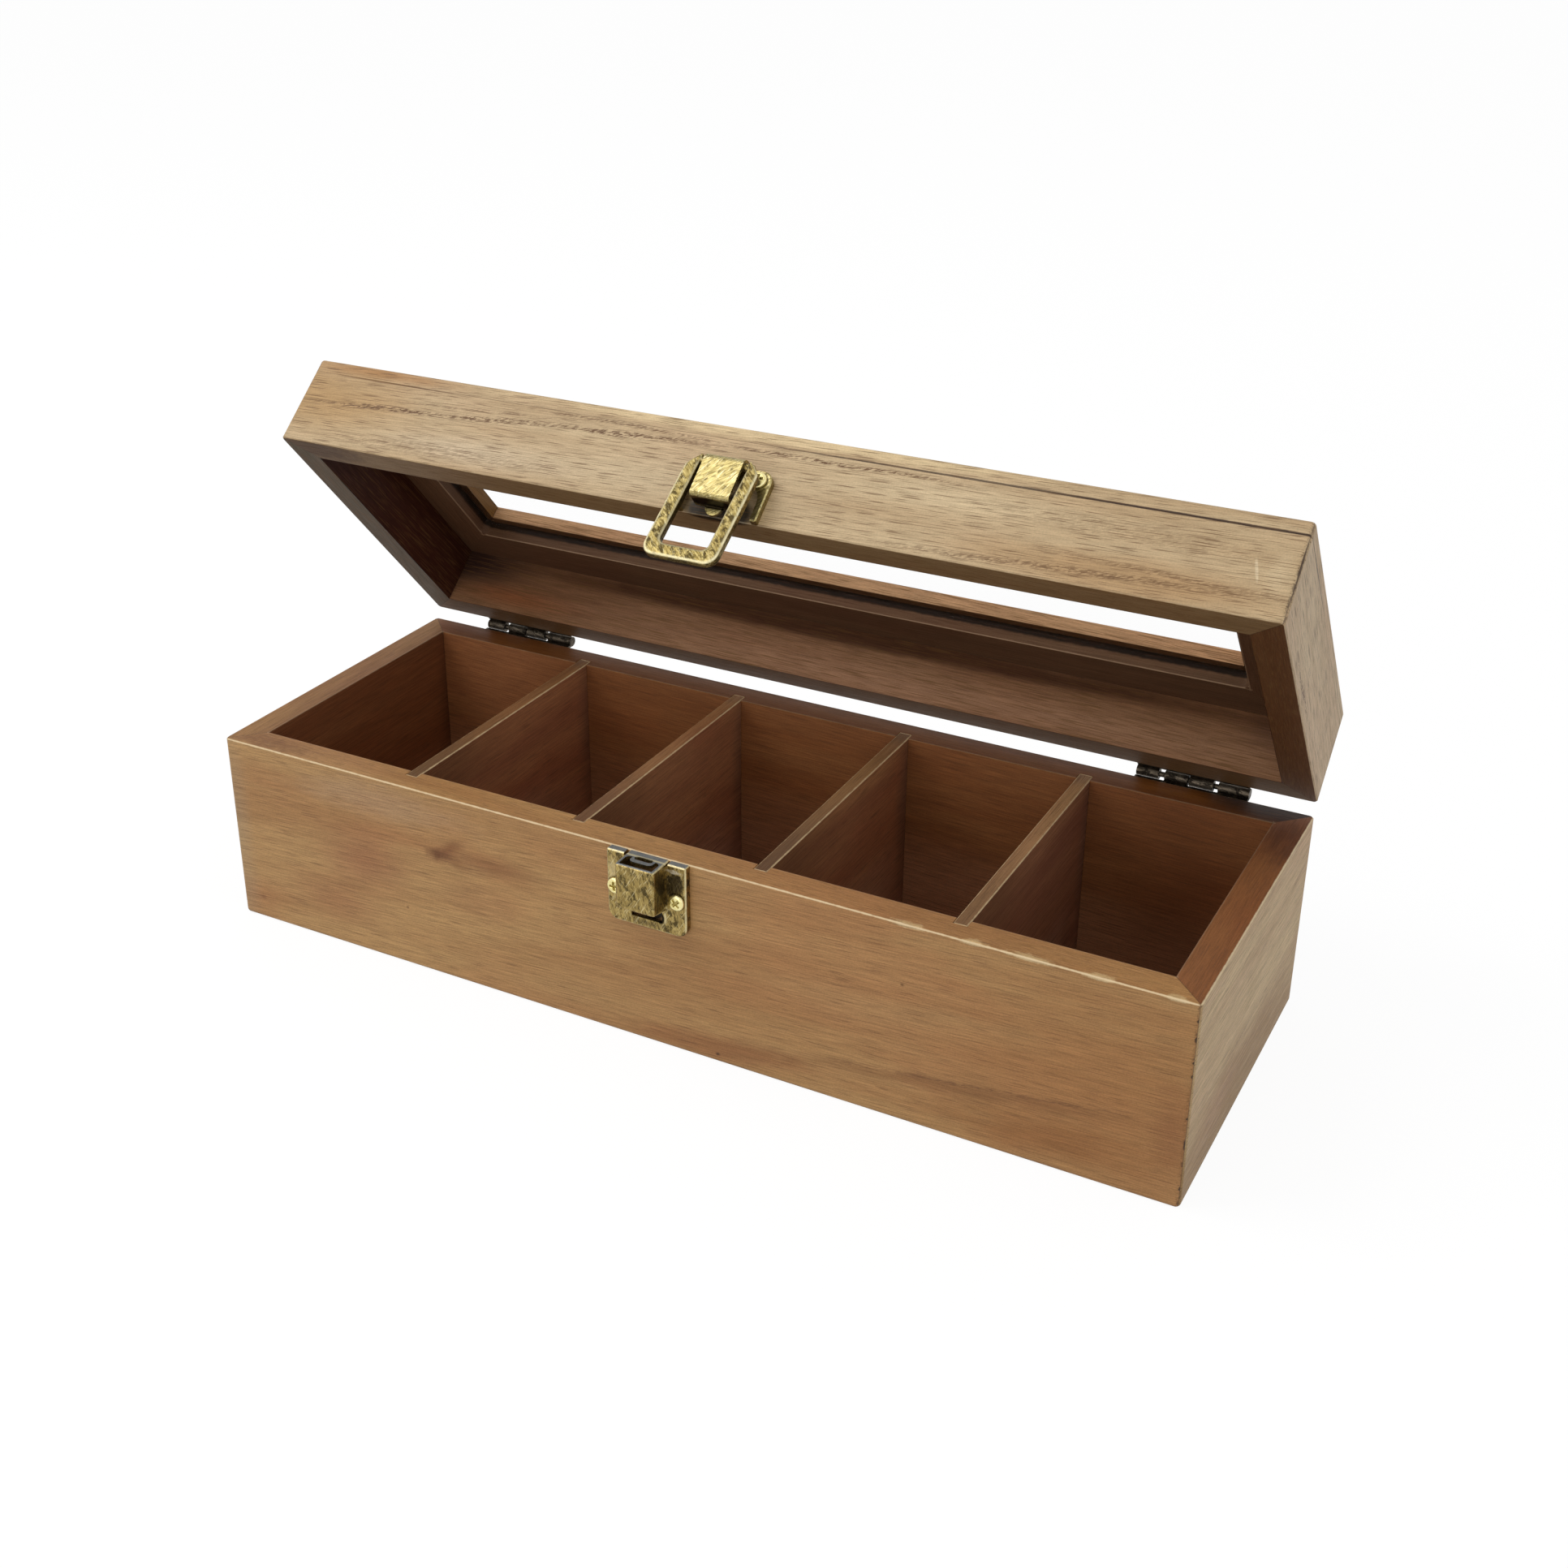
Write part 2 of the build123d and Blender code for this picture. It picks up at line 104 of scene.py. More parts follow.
def closed_place(tree, on_lid):
    """Object coordinates in mm; on the lid they are turned back about the hinge, as if it were closed"""
    turn = LID_ANGLE if on_lid else 0
    cos, sin = math.cos(turn), math.sin(turn)
    shift_y = HINGE_MM[1] - (HINGE_MM[1] * cos - HINGE_MM[2] * sin)
    shift_z = HINGE_MM[2] - (HINGE_MM[1] * sin + HINGE_MM[2] * cos)
    where = add_node(tree, "TexCoord", {}, {})
    return add_node(tree, "Mapping", {}, {
        "Vector": where.outputs["Object"], "Location": (0, shift_y, shift_z),
        "Rotation": (turn, 0, 0), "Scale": (MM_PER_M,) * 3,
    }).outputs[0]


PATTERN_SHIFT = (37.3, 23.1, 15.7)


def draw_patterns(tree, place, patterns, along, turn, seed):
    """Noise for each named pattern, with grains so long along the piece and so wide across it, in mm, and
    shifted by the seed"""
    drawn = {}
    shift = [seed * step for step in PATTERN_SHIFT]
    for name, length, width, detail, rough in patterns:
        size = {"x": (length, width, width), "y": (width, length, width)}[along]
        where = add_node(tree, "Mapping", {"vector_type": "TEXTURE"}, {
            "Vector": place, "Location": shift, "Rotation": turn, "Scale": size,
        }).outputs[0]
        drawn[name] = add_node(tree, "TexNoise", {}, {
            "Vector": where, "Scale": 1, "Detail": detail, "Roughness": rough,
        }).outputs[0]
    return drawn


# Settings of nodes that mix two colours, that fade softly, and that multiply two colours
MIXED, SOFTLY = {"data_type": "RGBA"}, {"interpolation_type": "SMOOTHSTEP"}
MULTIPLIED = {**MIXED, "blend_type": "MULTIPLY"}
# A mark is an ellipsoid of other colour: its middle and radii in mm with the lid closed, its share at the
# middle, its colour, the pattern that makes its edge uneven, its turn about y, how uneven and how soft its
# edge is in its own radii, and whether it shows only in dashes
Mark = namedtuple(
    "Mark", "at radii share colour edge turn uneven soft dashed", defaults=("tear", 0, 0.8, 1.0, False),
)


def lay_marks(tree, place, colour, marks, patterns):
    """Lays marks over a colour: the distance from a mark's middle, counted in its own radii and made uneven
    by a pattern, fades it out, and a dashed mark shows only where the dash pattern is high"""
    for mark in marks:
        local = add_node(tree, "Mapping", {"vector_type": "TEXTURE"}, {
            "Vector": place, "Location": mark.at, "Scale": mark.radii, "Rotation": (0, mark.turn, 0),
        }).outputs[0]
        off = add_node(tree, "VectorMath", {"operation": "LENGTH"}, {0: local}).outputs["Value"]
        reach = add_node(tree, "Math", {"operation": "MULTIPLY_ADD"}, {
            0: patterns[mark.edge], 1: -mark.uneven, 2: off,
        }).outputs[0]
        inside = add_node(tree, "MapRange", SOFTLY, {
            "Value": reach, "From Min": 1 - mark.uneven / 2, "From Max": 1 - mark.soft - mark.uneven / 2,
            "To Max": mark.share,
        }).outputs[0]
        if mark.dashed:
            dash = patterns["dash"]
            inside = add_node(tree, "Math", {"operation": "MULTIPLY"}, {0: inside, 1: dash}).outputs[0]
        colour = add_node(tree, "Mix", MIXED, {
            "Factor": inside, 6: colour, 7: linear(mark.colour),
        }).outputs[2]
    return colour


BEYOND_MM = 0.5


def block_gaps(tree, place, centre, half):
    """Distances in mm to a block's x and y faces, the larger of them, and the distance to its nearest edge,
    which is the middle one of the distances to its x, y and z faces, or the way past the block if more"""
    offset = add_node(tree, "VectorMath", {"operation": "SUBTRACT"}, {0: place, 1: centre}).outputs[0]
    away = add_node(tree, "VectorMath", {"operation": "ABSOLUTE"}, {0: offset}).outputs[0]
    signed = add_node(tree, "VectorMath", {"operation": "SUBTRACT"}, {0: half, 1: away}).outputs[0]
    gaps = add_node(tree, "VectorMath", {"operation": "ABSOLUTE"}, {0: signed}).outputs[0]
    x, y, z = add_node(tree, "SeparateXYZ", {}, {0: gaps}).outputs[:3]
    least = add_node(tree, "Math", {"operation": "MINIMUM"}, {0: x, 1: y}).outputs[0]
    most = add_node(tree, "Math", {"operation": "MAXIMUM"}, {0: x, 1: y}).outputs[0]
    high = add_node(tree, "Math", {"operation": "MINIMUM"}, {0: most, 1: z}).outputs[0]
    edge = add_node(tree, "Math", {"operation": "MAXIMUM"}, {0: least, 1: high}).outputs[0]
    inner_x, inner_y, inner_z = add_node(tree, "SeparateXYZ", {}, {0: signed}).outputs[:3]
    flat = add_node(tree, "Math", {"operation": "MINIMUM"}, {0: inner_x, 1: inner_y}).outputs[0]
    lowest = add_node(tree, "Math", {"operation": "MINIMUM"}, {0: flat, 1: inner_z}).outputs[0]
    beyond = add_node(tree, "Math", {"operation": "MULTIPLY_ADD"}, {
        0: lowest, 1: -1, 2: -BEYOND_MM,
    }).outputs[0]
    edge = add_node(tree, "Math", {"operation": "MAXIMUM"}, {0: edge, 1: beyond}).outputs[0]
    return x, y, most, edge


# Wood patterns: name, length along the grain and width across it in mm, detail and roughness. Pores and
# fibres are drawn about twice as coarse as the real ones, so that they show.
WOOD_PATTERNS = (
    ("figure", 120, 9.5, 3, 0.5), ("cloud", 80, 34, 3, 0.55), ("fibre", 15, 0.42, 3, 0.7),
    ("pore", 11, 0.3, 1, 0.5), ("grit", 0.5, 0.5, 1, 0.5), ("chip", 2.6, 2.6, 4, 0.65),
    ("tear", 14, 4.5, 3, 0.6), ("wander", 30, 30, 1, 0.5),
)
DASH_PATTERN = (("dash", 2.6, 0.4, 2, 0.6),)
DASH_SLANT = -0.28
WANDER_MM = 3
# Spans of a pattern over which its effect sets in, and the widths of such spans
FIGURE_SPAN, CLOUD_SPAN = {"From Min": 0.36, "From Max": 0.64}, {"From Min": 0.44, "From Max": 0.66}
FIBRE_SPAN, GRIT_SPAN = {"From Min": 0.3, "From Max": 0.7}, {"From Min": 0.25, "From Max": 0.75}
DASH_SPAN = {"From Min": 0.47, "From Max": 0.54}
PORE_FADE, NICK_FADE = 0.07, 0.08
# Distances in mm over which the inside tint, partly stain and partly painted shade, a mitre's line, the
# nicks of a corner and the wear of an arris fade out
HOLLOW_FADE, SEAM_FADE = {"From Min": 0.3, "From Max": 0.05}, {"From Min": 0.3, "From Max": 0.08}
CORNER_FADE = {"From Min": 1.2, "From Max": 0.5, "To Max": 0.8}
WEAR_FADE = (0.1, -0.15)
# Distances in mm from a rim between which its own tint, partly stain and partly painted shade, sets in
RIM_DEPTHS, DIVIDER_RIM_DEPTHS = (0.15, 0.03), (0.2, 0.1)
WOOD_ROUGH = {"To Min": 0.6, "To Max": 0.44}
WOOD_BUMP = {"Strength": 0.2, "Distance": 0.00012}


def stained_wood(name, tones, along, seed, arrises, on_lid=False, slope=0.0, mitre=None, tint=(1, 1, 1),
                 hollow=None, hollow_tint=(1, 1, 1), rim=None, rim_tint=(1, 1, 1), marks=()):
    """Stained wood: long noise gives figure, fibres and pores; faces towards the hollow and on the rim take
    another tint, partly stain and partly painted shade; marks lie over it, some of them stain and some
    painted light and shade; mitre joints show as a dark line and arrises are worn pale"""
    material, tree, shader = new_material(name)
    place = closed_place(tree, on_lid)
    turn = (0, slope, 0) if along == "x" else (slope, 0, 0)
    patterns = draw_patterns(tree, place, WOOD_PATTERNS, along, turn, seed)
    level = add_node(tree, "SeparateXYZ", {}, {0: place}).outputs[2]
    figure = add_node(tree, "MapRange", {}, {"Value": patterns["figure"], **FIGURE_SPAN}).outputs[0]
    colour = add_node(tree, "Mix", MIXED, {
        "Factor": figure, 6: linear(tones["dark"]), 7: linear(tones["light"]),
    }).outputs[2]
    cloud = add_node(tree, "MapRange", SOFTLY, {
        "Value": patterns["cloud"], **CLOUD_SPAN, "To Max": tones["blush_share"],
    }).outputs[0]
    colour = add_node(tree, "Mix", MIXED, {"Factor": cloud, 6: colour, 7: linear(tones["blush"])}).outputs[2]
    colour = add_node(tree, "VectorMath", {"operation": "MULTIPLY"}, {0: colour, 1: tint}).outputs[0]
    colour = lay_marks(tree, place, colour, [mark for mark in marks if not mark.dashed], patterns)
    fibre_depth, gloss, matt = tones["fibre_depth"], tones["gloss"], 0.0
    if hollow:
        away = add_node(tree, "VectorMath", {"operation": "ABSOLUTE"}, {0: place}).outputs[0]
        beyond = add_node(tree, "VectorMath", {"operation": "SUBTRACT"}, {
            0: away, 1: (*hollow, 0),
        }).outputs[0]
        out_x, out_y = add_node(tree, "SeparateXYZ", {}, {0: beyond}).outputs[:2]
        outside = add_node(tree, "Math", {"operation": "MAXIMUM"}, {0: out_x, 1: out_y}).outputs[0]
        matt = add_node(tree, "MapRange", {}, {"Value": outside, **HOLLOW_FADE}).outputs[0]
        colour = add_node(tree, "Mix", MULTIPLIED, {
            "Factor": matt, 6: colour, 7: (*hollow_tint, 1),
        }).outputs[2]
        fibre_depth = add_node(tree, "MapRange", {}, {
            "Value": matt, "To Min": tones["fibre_depth"], "To Max": tones["hollow_depth"],
        }).outputs[0]
    if rim:
        past = add_node(tree, "MapRange", {}, {
            "Value": level, "From Min": rim[0], "From Max": rim[1],
        }).outputs[0]
        colour = add_node(tree, "Mix", MULTIPLIED, {"Factor": past, 6: colour, 7: (*rim_tint, 1)}).outputs[2]
        matt = add_node(tree, "Math", {"operation": "MAXIMUM"}, {0: matt, 1: past}).outputs[0]
    if hollow or rim:
        gloss = add_node(tree, "MapRange", {}, {
            "Value": matt, "To Min": tones["gloss"], "To Max": tones["hollow_gloss"],
        }).outputs[0]
    fibre = add_node(tree, "MapRange", {}, {
        "Value": patterns["fibre"], **FIBRE_SPAN, "To Min": -1, "To Max": 1,
    }).outputs[0]
    grit = add_node(tree, "MapRange", {}, {
        "Value": patterns["grit"], **GRIT_SPAN,
        "To Min": 1 - tones["grit_depth"], "To Max": 1 + tones["grit_depth"],
    }).outputs[0]
    gain = add_node(tree, "Math", {"operation": "MULTIPLY_ADD"}, {
        0: fibre, 1: fibre_depth, 2: grit,
    }).outputs[0]
    colour = add_node(tree, "VectorMath", {"operation": "SCALE"}, {0: colour, "Scale": gain}).outputs[0]
    pore_share = add_node(tree, "MapRange", {}, {
        "Value": patterns["pore"], "From Min": tones["pore_from"], "From Max": tones["pore_from"] + PORE_FADE,
        "To Max": tones["pore_share"],
    }).outputs[0]
    colour = add_node(tree, "Mix", MIXED, {
        "Factor": pore_share, 6: colour, 7: linear(tones["pore"]),
    }).outputs[2]
    dashed = [mark for mark in marks if mark.dashed]
    if dashed:
        sway = add_node(tree, "MapRange", {}, {
            "Value": patterns["wander"], "To Min": -WANDER_MM / 2, "To Max": WANDER_MM / 2,
        }).outputs[0]
        lift = add_node(tree, "CombineXYZ", {}, {2: sway}).outputs[0]
        wavy = add_node(tree, "VectorMath", {"operation": "ADD"}, {0: place, 1: lift}).outputs[0]
        dash = draw_patterns(tree, wavy, DASH_PATTERN, along, (0, DASH_SLANT, 0), seed + 0.5)["dash"]
        patterns["dash"] = add_node(tree, "MapRange", {}, {"Value": dash, **DASH_SPAN}).outputs[0]
        colour = lay_marks(tree, wavy, colour, dashed, patterns)
    for number, (centre, half, width, share, band) in enumerate(arrises):
        gap_x, gap_y, upright, edge = block_gaps(tree, place, centre, half)
        ragged = tones["wear_ragged"]
        reach = add_node(tree, "Math", {"operation": "MULTIPLY_ADD"}, {
            0: patterns["chip"], 1: -ragged, 2: edge,
        }).outputs[0]
        whole, bare = (width + end - ragged / 2 for end in WEAR_FADE)
        worn = add_node(tree, "MapRange", {}, {
            "Value": reach, "From Min": whole, "From Max": bare, "To Max": share,
        }).outputs[0]
        above = add_node(tree, "MapRange", {}, {
            "Value": level, "From Min": band[0], "From Max": band[1],
        }).outputs[0]
        worn = add_node(tree, "Math", {"operation": "MULTIPLY"}, {0: worn, 1: above}).outputs[0]
        colour = add_node(tree, "Mix", MIXED, {
            "Factor": worn, 6: colour, 7: linear(tones["worn"]),
        }).outputs[2]
        if number:
            continue
        nick_full = tones["nick_from"] + NICK_FADE
        nick = add_node(tree, "MapRange", {}, {
            "Value": patterns["chip"], "From Min": tones["nick_from"], "From Max": nick_full,
        }).outputs[0]
        corner = add_node(tree, "MapRange", {}, {"Value": upright, **CORNER_FADE}).outputs[0]
        nicked = add_node(tree, "Math", {"operation": "MULTIPLY"}, {0: nick, 1: corner}).outputs[0]
        if mitre:
            scaled = add_node(tree, "Math", {"operation": "MULTIPLY"}, {0: gap_x, 1: mitre}).outputs[0]
            apart = add_node(tree, "Math", {"operation": "SUBTRACT"}, {0: scaled, 1: gap_y}).outputs[0]
            width_off = add_node(tree, "Math", {"operation": "ABSOLUTE"}, {0: apart}).outputs[0]
            seam = add_node(tree, "MapRange", {}, {
                "Value": width_off, **SEAM_FADE, "To Max": tones["seam_share"],
            }).outputs[0]
            nicked = add_node(tree, "Math", {"operation": "MAXIMUM"}, {0: nicked, 1: seam}).outputs[0]
        colour = add_node(tree, "Mix", MIXED, {
            "Factor": nicked, 6: colour, 7: linear(tones["seam"]),
        }).outputs[2]
    relief = add_node(tree, "Math", {"operation": "SUBTRACT"}, {
        0: patterns["fibre"], 1: pore_share,
    }).outputs[0]
    bump = add_node(tree, "Bump", {}, {"Height": relief, **WOOD_BUMP}).outputs[0]
    rough = add_node(tree, "MapRange", {}, {
        "Value": patterns["fibre"], **FIBRE_SPAN, **WOOD_ROUGH,
    }).outputs[0]
    feed(tree, shader, {
        "Base Color": colour, "Specular IOR Level": gloss, "Roughness": rough, "Normal": bump,
    })
    return material


def finish_node(node_name, material):
    """Gives a carried-over piece its material"""
    piece = cad[node_name]
    if not piece.material_slots:
        piece.data.materials.append(material)
    for slot in piece.material_slots:
        slot.material = material


# Tones of a wood: its colours, how much of it pores, blush and joint lines cover, the noise from which
# pores and nicks start, how deep fibres and grit shade it, how ragged its worn edges are in mm, and its
# gloss; the hollow has a depth and a gloss of its own
BASE_TONES = {
    "dark": "#ad8255", "light": "#bc9464", "pore": "#68432a", "pore_from": 0.59, "pore_share": 0.42,
    "fibre_depth": 0.24, "hollow_depth": 0.30, "grit_depth": 0.10, "blush": "#b07a50", "blush_share": 0.4,
    "worn": "#ecd3a8", "wear_ragged": 0.5, "nick_from": 0.56, "gloss": 0.35, "hollow_gloss": 0.25,
    "seam": "#3d2616", "seam_share": 0.5,
}
# Worn edges of a block: its middle and half sizes, the width of the wear in mm, its share, and the levels
# between which it sets in
BASE_MIDDLE = (0, 0, BASE_RIM / 2)
BASE_ARRISES = (
    (BASE_MIDDLE, (HALF_LENGTH, HALF_WIDTH, BASE_RIM / 2), 0.42, 0.9, (14, 26)),
    (BASE_MIDDLE, (*INNER_HALF, BASE_RIM / 2), 0.3, 0.15, (BASE_RIM - 1.5, BASE_RIM - 0.5)),
)
# The foot has a dark line all round. The front board has its knot, reddish blotches, a slanting
# band of figure low on the right, dark nicks down its right corner and pale chips along its rim
FOOT_DARK_LINE = Mark((0, 0, -0.6), (900, 900, 1.5), 0.75, "#3b2a1c", "chip", uneven=0.5)
CORNER_NICKS = ((63, 0.8), (57, 1.6), (49.5, 0.7), (45, 1.0), (31, 0.6), (22, 2.2), (7, 1.2))
RIM_CHIPS = ((84, 7), (104, 5), (121, 9), (141, 6), (163, 4))
FRONT_MARKS = [
    FOOT_DARK_LINE,
    Mark((-114, -60, 36), (30, 9, 18), 0.55, "#9c6244", "cloud"),
    Mark((-126, -60, 18), (28, 9, 14), 0.5, "#a06a46", "cloud"),
    Mark((22, -60, 6), (46, 9, 7), 0.6, "#935f39", turn=-0.1, soft=0.8),
    Mark((-70, -60, 33), (26, 9, 11), 0.3, "#9d6846", "cloud"),
    # Painted sheen: a pale grey haze high on the left of the front
    Mark((-106, -60, 60), (50, 9, 9), 0.42, "#c4a583", soft=0.8),
    Mark((-62, -60, 47.5), (32, 9, 5.5), 0.68, "#8d5d39", turn=-0.05),
    Mark((-77.5, -60, 50), (11, 9, 4.2), 0.7, "#7c4b2a", turn=-0.66),
    Mark((-83, -60, 46.6), (7.0, 9, 3.8), 0.85, "#6a3e20", "chip"),
    Mark((-76, -60, 45.2), (9, 9, 3.0), 0.55, "#80522f", turn=0.3),
    Mark((-40, -60, 8), (60, 9, 10), 0.4, "#bd9765", "cloud"),
    Mark((-158, -55, 69.2), (34, 9, 1.4), 0.85, "#8a5f36", "chip", soft=0.6),
    # Painted shade: the wood seen inside the catch's lug and slot is nearly black
    Mark((-1.7, -60, 54), (7.5, 3, 9.5), 0.98, "#140e09", "chip", uneven=0.1, soft=0.2),
    Mark((64, -60, 36), (40, 9, 10), 0.35, "#bf9666", "cloud"),
    Mark((150, -60, 34), (64, 9, 52), 0.5, "#a67343", "cloud"),
    Mark((96, -60, 41), (34, 9, 6), 0.35, "#b89262", turn=-0.08),
    Mark((128, -60, 10), (62, 9, 13), 0.5, "#8f5a2c", turn=-0.08),
    Mark((98, -60, 17.5), (92, 9, 3.8), 0.55, "#7e522e", turn=-0.13),
    Mark((108, -60, 20.6), (80, 9, 1.1), 0.5, "#64402a", turn=-0.13, dashed=True),
    Mark((166, -60, 26), (8, 9, 22), 0.4, "#8c5836"),
    Mark((-169, -60, 34), (9, 9, 60), 0.5, "#b39c7c", "cloud"),
    *(Mark((169.7, -60, z), (0.8, 3, high), 0.95, "#2e1c10", "chip", uneven=0.6, soft=0.5)
      for z, high in CORNER_NICKS),
    *(Mark((x, -60, 68.2), (far, 3, 0.9), 0.8, "#e6cb9c", "chip", uneven=1.2, soft=0.5)
      for x, far in RIM_CHIPS),
    Mark((21.5, -60, 3.2), (1.3, 9, 0.9), 0.95, "#3a2012", "chip"),
    Mark((83, -60, 48), (0.9, 9, 0.8), 0.7, "#4a2c18", "chip"),
    Mark((-161, -60, 8.5), (2.2, 9, 1.6), 0.5, "#7a4a30", "chip"),
    Mark((-97, -60, 22.6), (0.8, 9, 0.8), 0.6, "#5a3822", "chip"),
]
BACK_MARKS = [
    FOOT_DARK_LINE,
    # Painted light near the floor and on the left, and painted shade towards the rim and on the right
    Mark((0, 50, 4), (900, 8, 36), 0.9, "#e8c8a4", "cloud"),
    Mark((0, 50, 66), (900, 8, 12), 0.5, "#9c724c", "cloud"),
    Mark((-129, 50, 50), (40, 12, 50), 0.6, "#c49a70", "cloud"),
    Mark((135, 50, 40), (40, 6, 60), 0.7, "#7d5233", "cloud"),
    # Painted shadow of the lid on the rim by the right hinge
    Mark((160, 60, 70), (36, 16, 4), 0.95, "#40290f", uneven=0.3, soft=0.5),
]
LEFT_MARKS = [
    FOOT_DARK_LINE,
    # Painted light near the floor and on the rim's front, painted shade in the back corner and towards the
    # rim
    Mark((-160, 0, 4), (8, 900, 36), 0.7, "#dcb892", "cloud"),
    Mark((-160, 51, 40), (8, 11, 60), 0.55, "#5f4c3e", "cloud"),
    Mark((-160, 0, 66), (8, 900, 14), 0.5, "#9c724c", "cloud"),
    Mark((-170, -46, 68), (14, 24, 4), 0.6, "#d2ac7c", "cloud"),
]
RIGHT_MARKS = [
    FOOT_DARK_LINE,
    Mark((170, -8, 8), (9, 130, 27), 0.95, "#967036", "cloud", soft=0.9),
    Mark((170, -30, 16), (9, 34, 14), 0.4, "#a8774e", "cloud"),
    # Painted shade of the lid on the rim's rear
    Mark((165, 40, 70), (12, 26, 3), 0.8, "#7d5e48", soft=0.6),
    Mark((170, -10, 27), (9, 62, 1.0), 0.5, "#7a5a3c", dashed=True),
]
# Side, grain, seed and slope, then the tints of the outside, the inside and the rim. The inside and rim tints
# are partly stain and partly painted shade, the rims darkest at the back and right where the lid shades them;
# the right board's lighter, bluer tint is painted cool light from the right
for side, along, seed, slope, tint, hollow_tint, rim_tint, marks in (
    ("front", "x", 1, -0.05, (1.06, 1.06, 1.02), (0.66, 0.52, 0.46), (0.85, 0.76, 0.64), FRONT_MARKS),
    ("back", "x", 2, 0.03, (1, 1, 1), (0.66, 0.47, 0.38), (0.42, 0.25, 0.10), BACK_MARKS),
    ("left", "y", 3, 0.02, (1, 1, 1), (0.52, 0.34, 0.28), (0.62, 0.51, 0.35), LEFT_MARKS),
    ("right", "y", 4, -0.03, (1.22, 1.44, 1.60), (0.54, 0.34, 0.25), (0.42, 0.23, 0.15), RIGHT_MARKS),
):
    finish_node(f"base_{side}_board", stained_wood(
        f"stained hardwood base {side} board waxed", BASE_TONES, along, seed, BASE_ARRISES, slope=slope,
        mitre=1, tint=tint, hollow=INNER_HALF, hollow_tint=hollow_tint,
        rim=[BASE_RIM - depth for depth in RIM_DEPTHS], rim_tint=rim_tint, marks=marks,
    ))

# FLOOR AND DIVIDERS
# Thin boards of the same wood with the deeper inside stain. The floor sits in rebates of the four
# boards, and the dividers slide into dados with the grain lying front to back.

INNER_TONES = {
    **BASE_TONES, "dark": "#85553a", "light": "#9a6a47", "pore": "#4e2f1b", "pore_share": 0.4,
    "fibre_depth": 0.2, "hollow_depth": 0.2, "blush": "#8a5136", "blush_share": 0.5, "worn": "#e6c898",
}
FLOOR_ARRISES = ((BASE_MIDDLE, (*INNER_HALF, BASE_RIM), 0.3, 0, (0, 1)),)
finish_node("base_floor", stained_wood("stained hardwood floor panel", INNER_TONES, "x", 5, FLOOR_ARRISES))
# Painted shade lies towards the top and the front and in the back corner, and painted light near the floor
DIVIDER_SHADING = [
    Mark((0, -50, 64), (900, 66, 30), 0.8, "#6c472c", "cloud", soft=0.9),
    Mark((0, 0, 4), (900, 70, 36), 0.9, "#c8a488", "cloud"),
    Mark((0, 51, 40), (900, 11, 60), 0.55, "#5f4c3e", "cloud"),
]
# Divider number, then its tint and its rim's tint, which differ partly as painted light and shade
for number, tint, rim_tint in (
    (1, (1.52, 1.52, 1.46), (0.72, 0.80, 0.63)), (2, (1.42, 1.46, 1.44), (0.76, 0.76, 0.61)),
    (3, (1.36, 1.38, 1.28), (0.62, 0.66, 0.55)), (4, (1.04, 1.02, 1.10), (1.24, 1.50, 1.32)),
):
    low, high = (np.array(corner) * MM_PER_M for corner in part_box(f"divider_{number}"))
    finish_node(f"divider_{number}", stained_wood(
        f"stained hardwood divider {number}", INNER_TONES, "y", 5 + number,
        [(tuple((low + high) / 2), tuple((high - low) / 2), 0.34, 0.85, (BASE_RIM - 2, BASE_RIM - 1))],
        tint=tint, rim=[BASE_RIM - depth for depth in DIVIDER_RIM_DEPTHS], rim_tint=rim_tint,
        marks=DIVIDER_SHADING,
    ))

# LID RAILS AND TOP FRAME
# Mitred rails with a thin mitred frame glued over them, in a paler cut of the same wood. Chains of
# open pores wander along the front, and the glue line under the top frame has darkened.

LID_RIM, LID_TOP = 68.8, 100.8
JOINT_LEVEL = 96.2
WINDOW_HALF = (142.2, 29.0)
LID_TONES = {
    "dark": "#bda079", "light": "#ccb28b", "pore": "#70502f", "pore_from": 0.57, "pore_share": 0.7,
    "fibre_depth": 0.19, "hollow_depth": 0.32, "grit_depth": 0.08, "blush": "#c6a27c", "blush_share": 0.35,
    "worn": "#e2cca6", "wear_ragged": 0.7, "nick_from": 0.5, "gloss": 0.35, "hollow_gloss": 0.12,
    "seam": "#3a2618", "seam_share": 0.55,
}
LID_MIDDLE = (0, 0, (LID_RIM + LID_TOP) / 2)
LID_ARRISES = ((LID_MIDDLE, (HALF_LENGTH, HALF_WIDTH, (LID_TOP - LID_RIM) / 2), 0.3, 0.35, (0, 1)),)
GLUE_LINE = {"edge": "chip", "uneven": 0.4, "soft": 0.6, "share": 0.95, "colour": "#3a2413"}
PORE_CHAIN = {"dashed": True, "uneven": 0.6, "soft": 0.7, "share": 0.95, "colour": "#654322"}
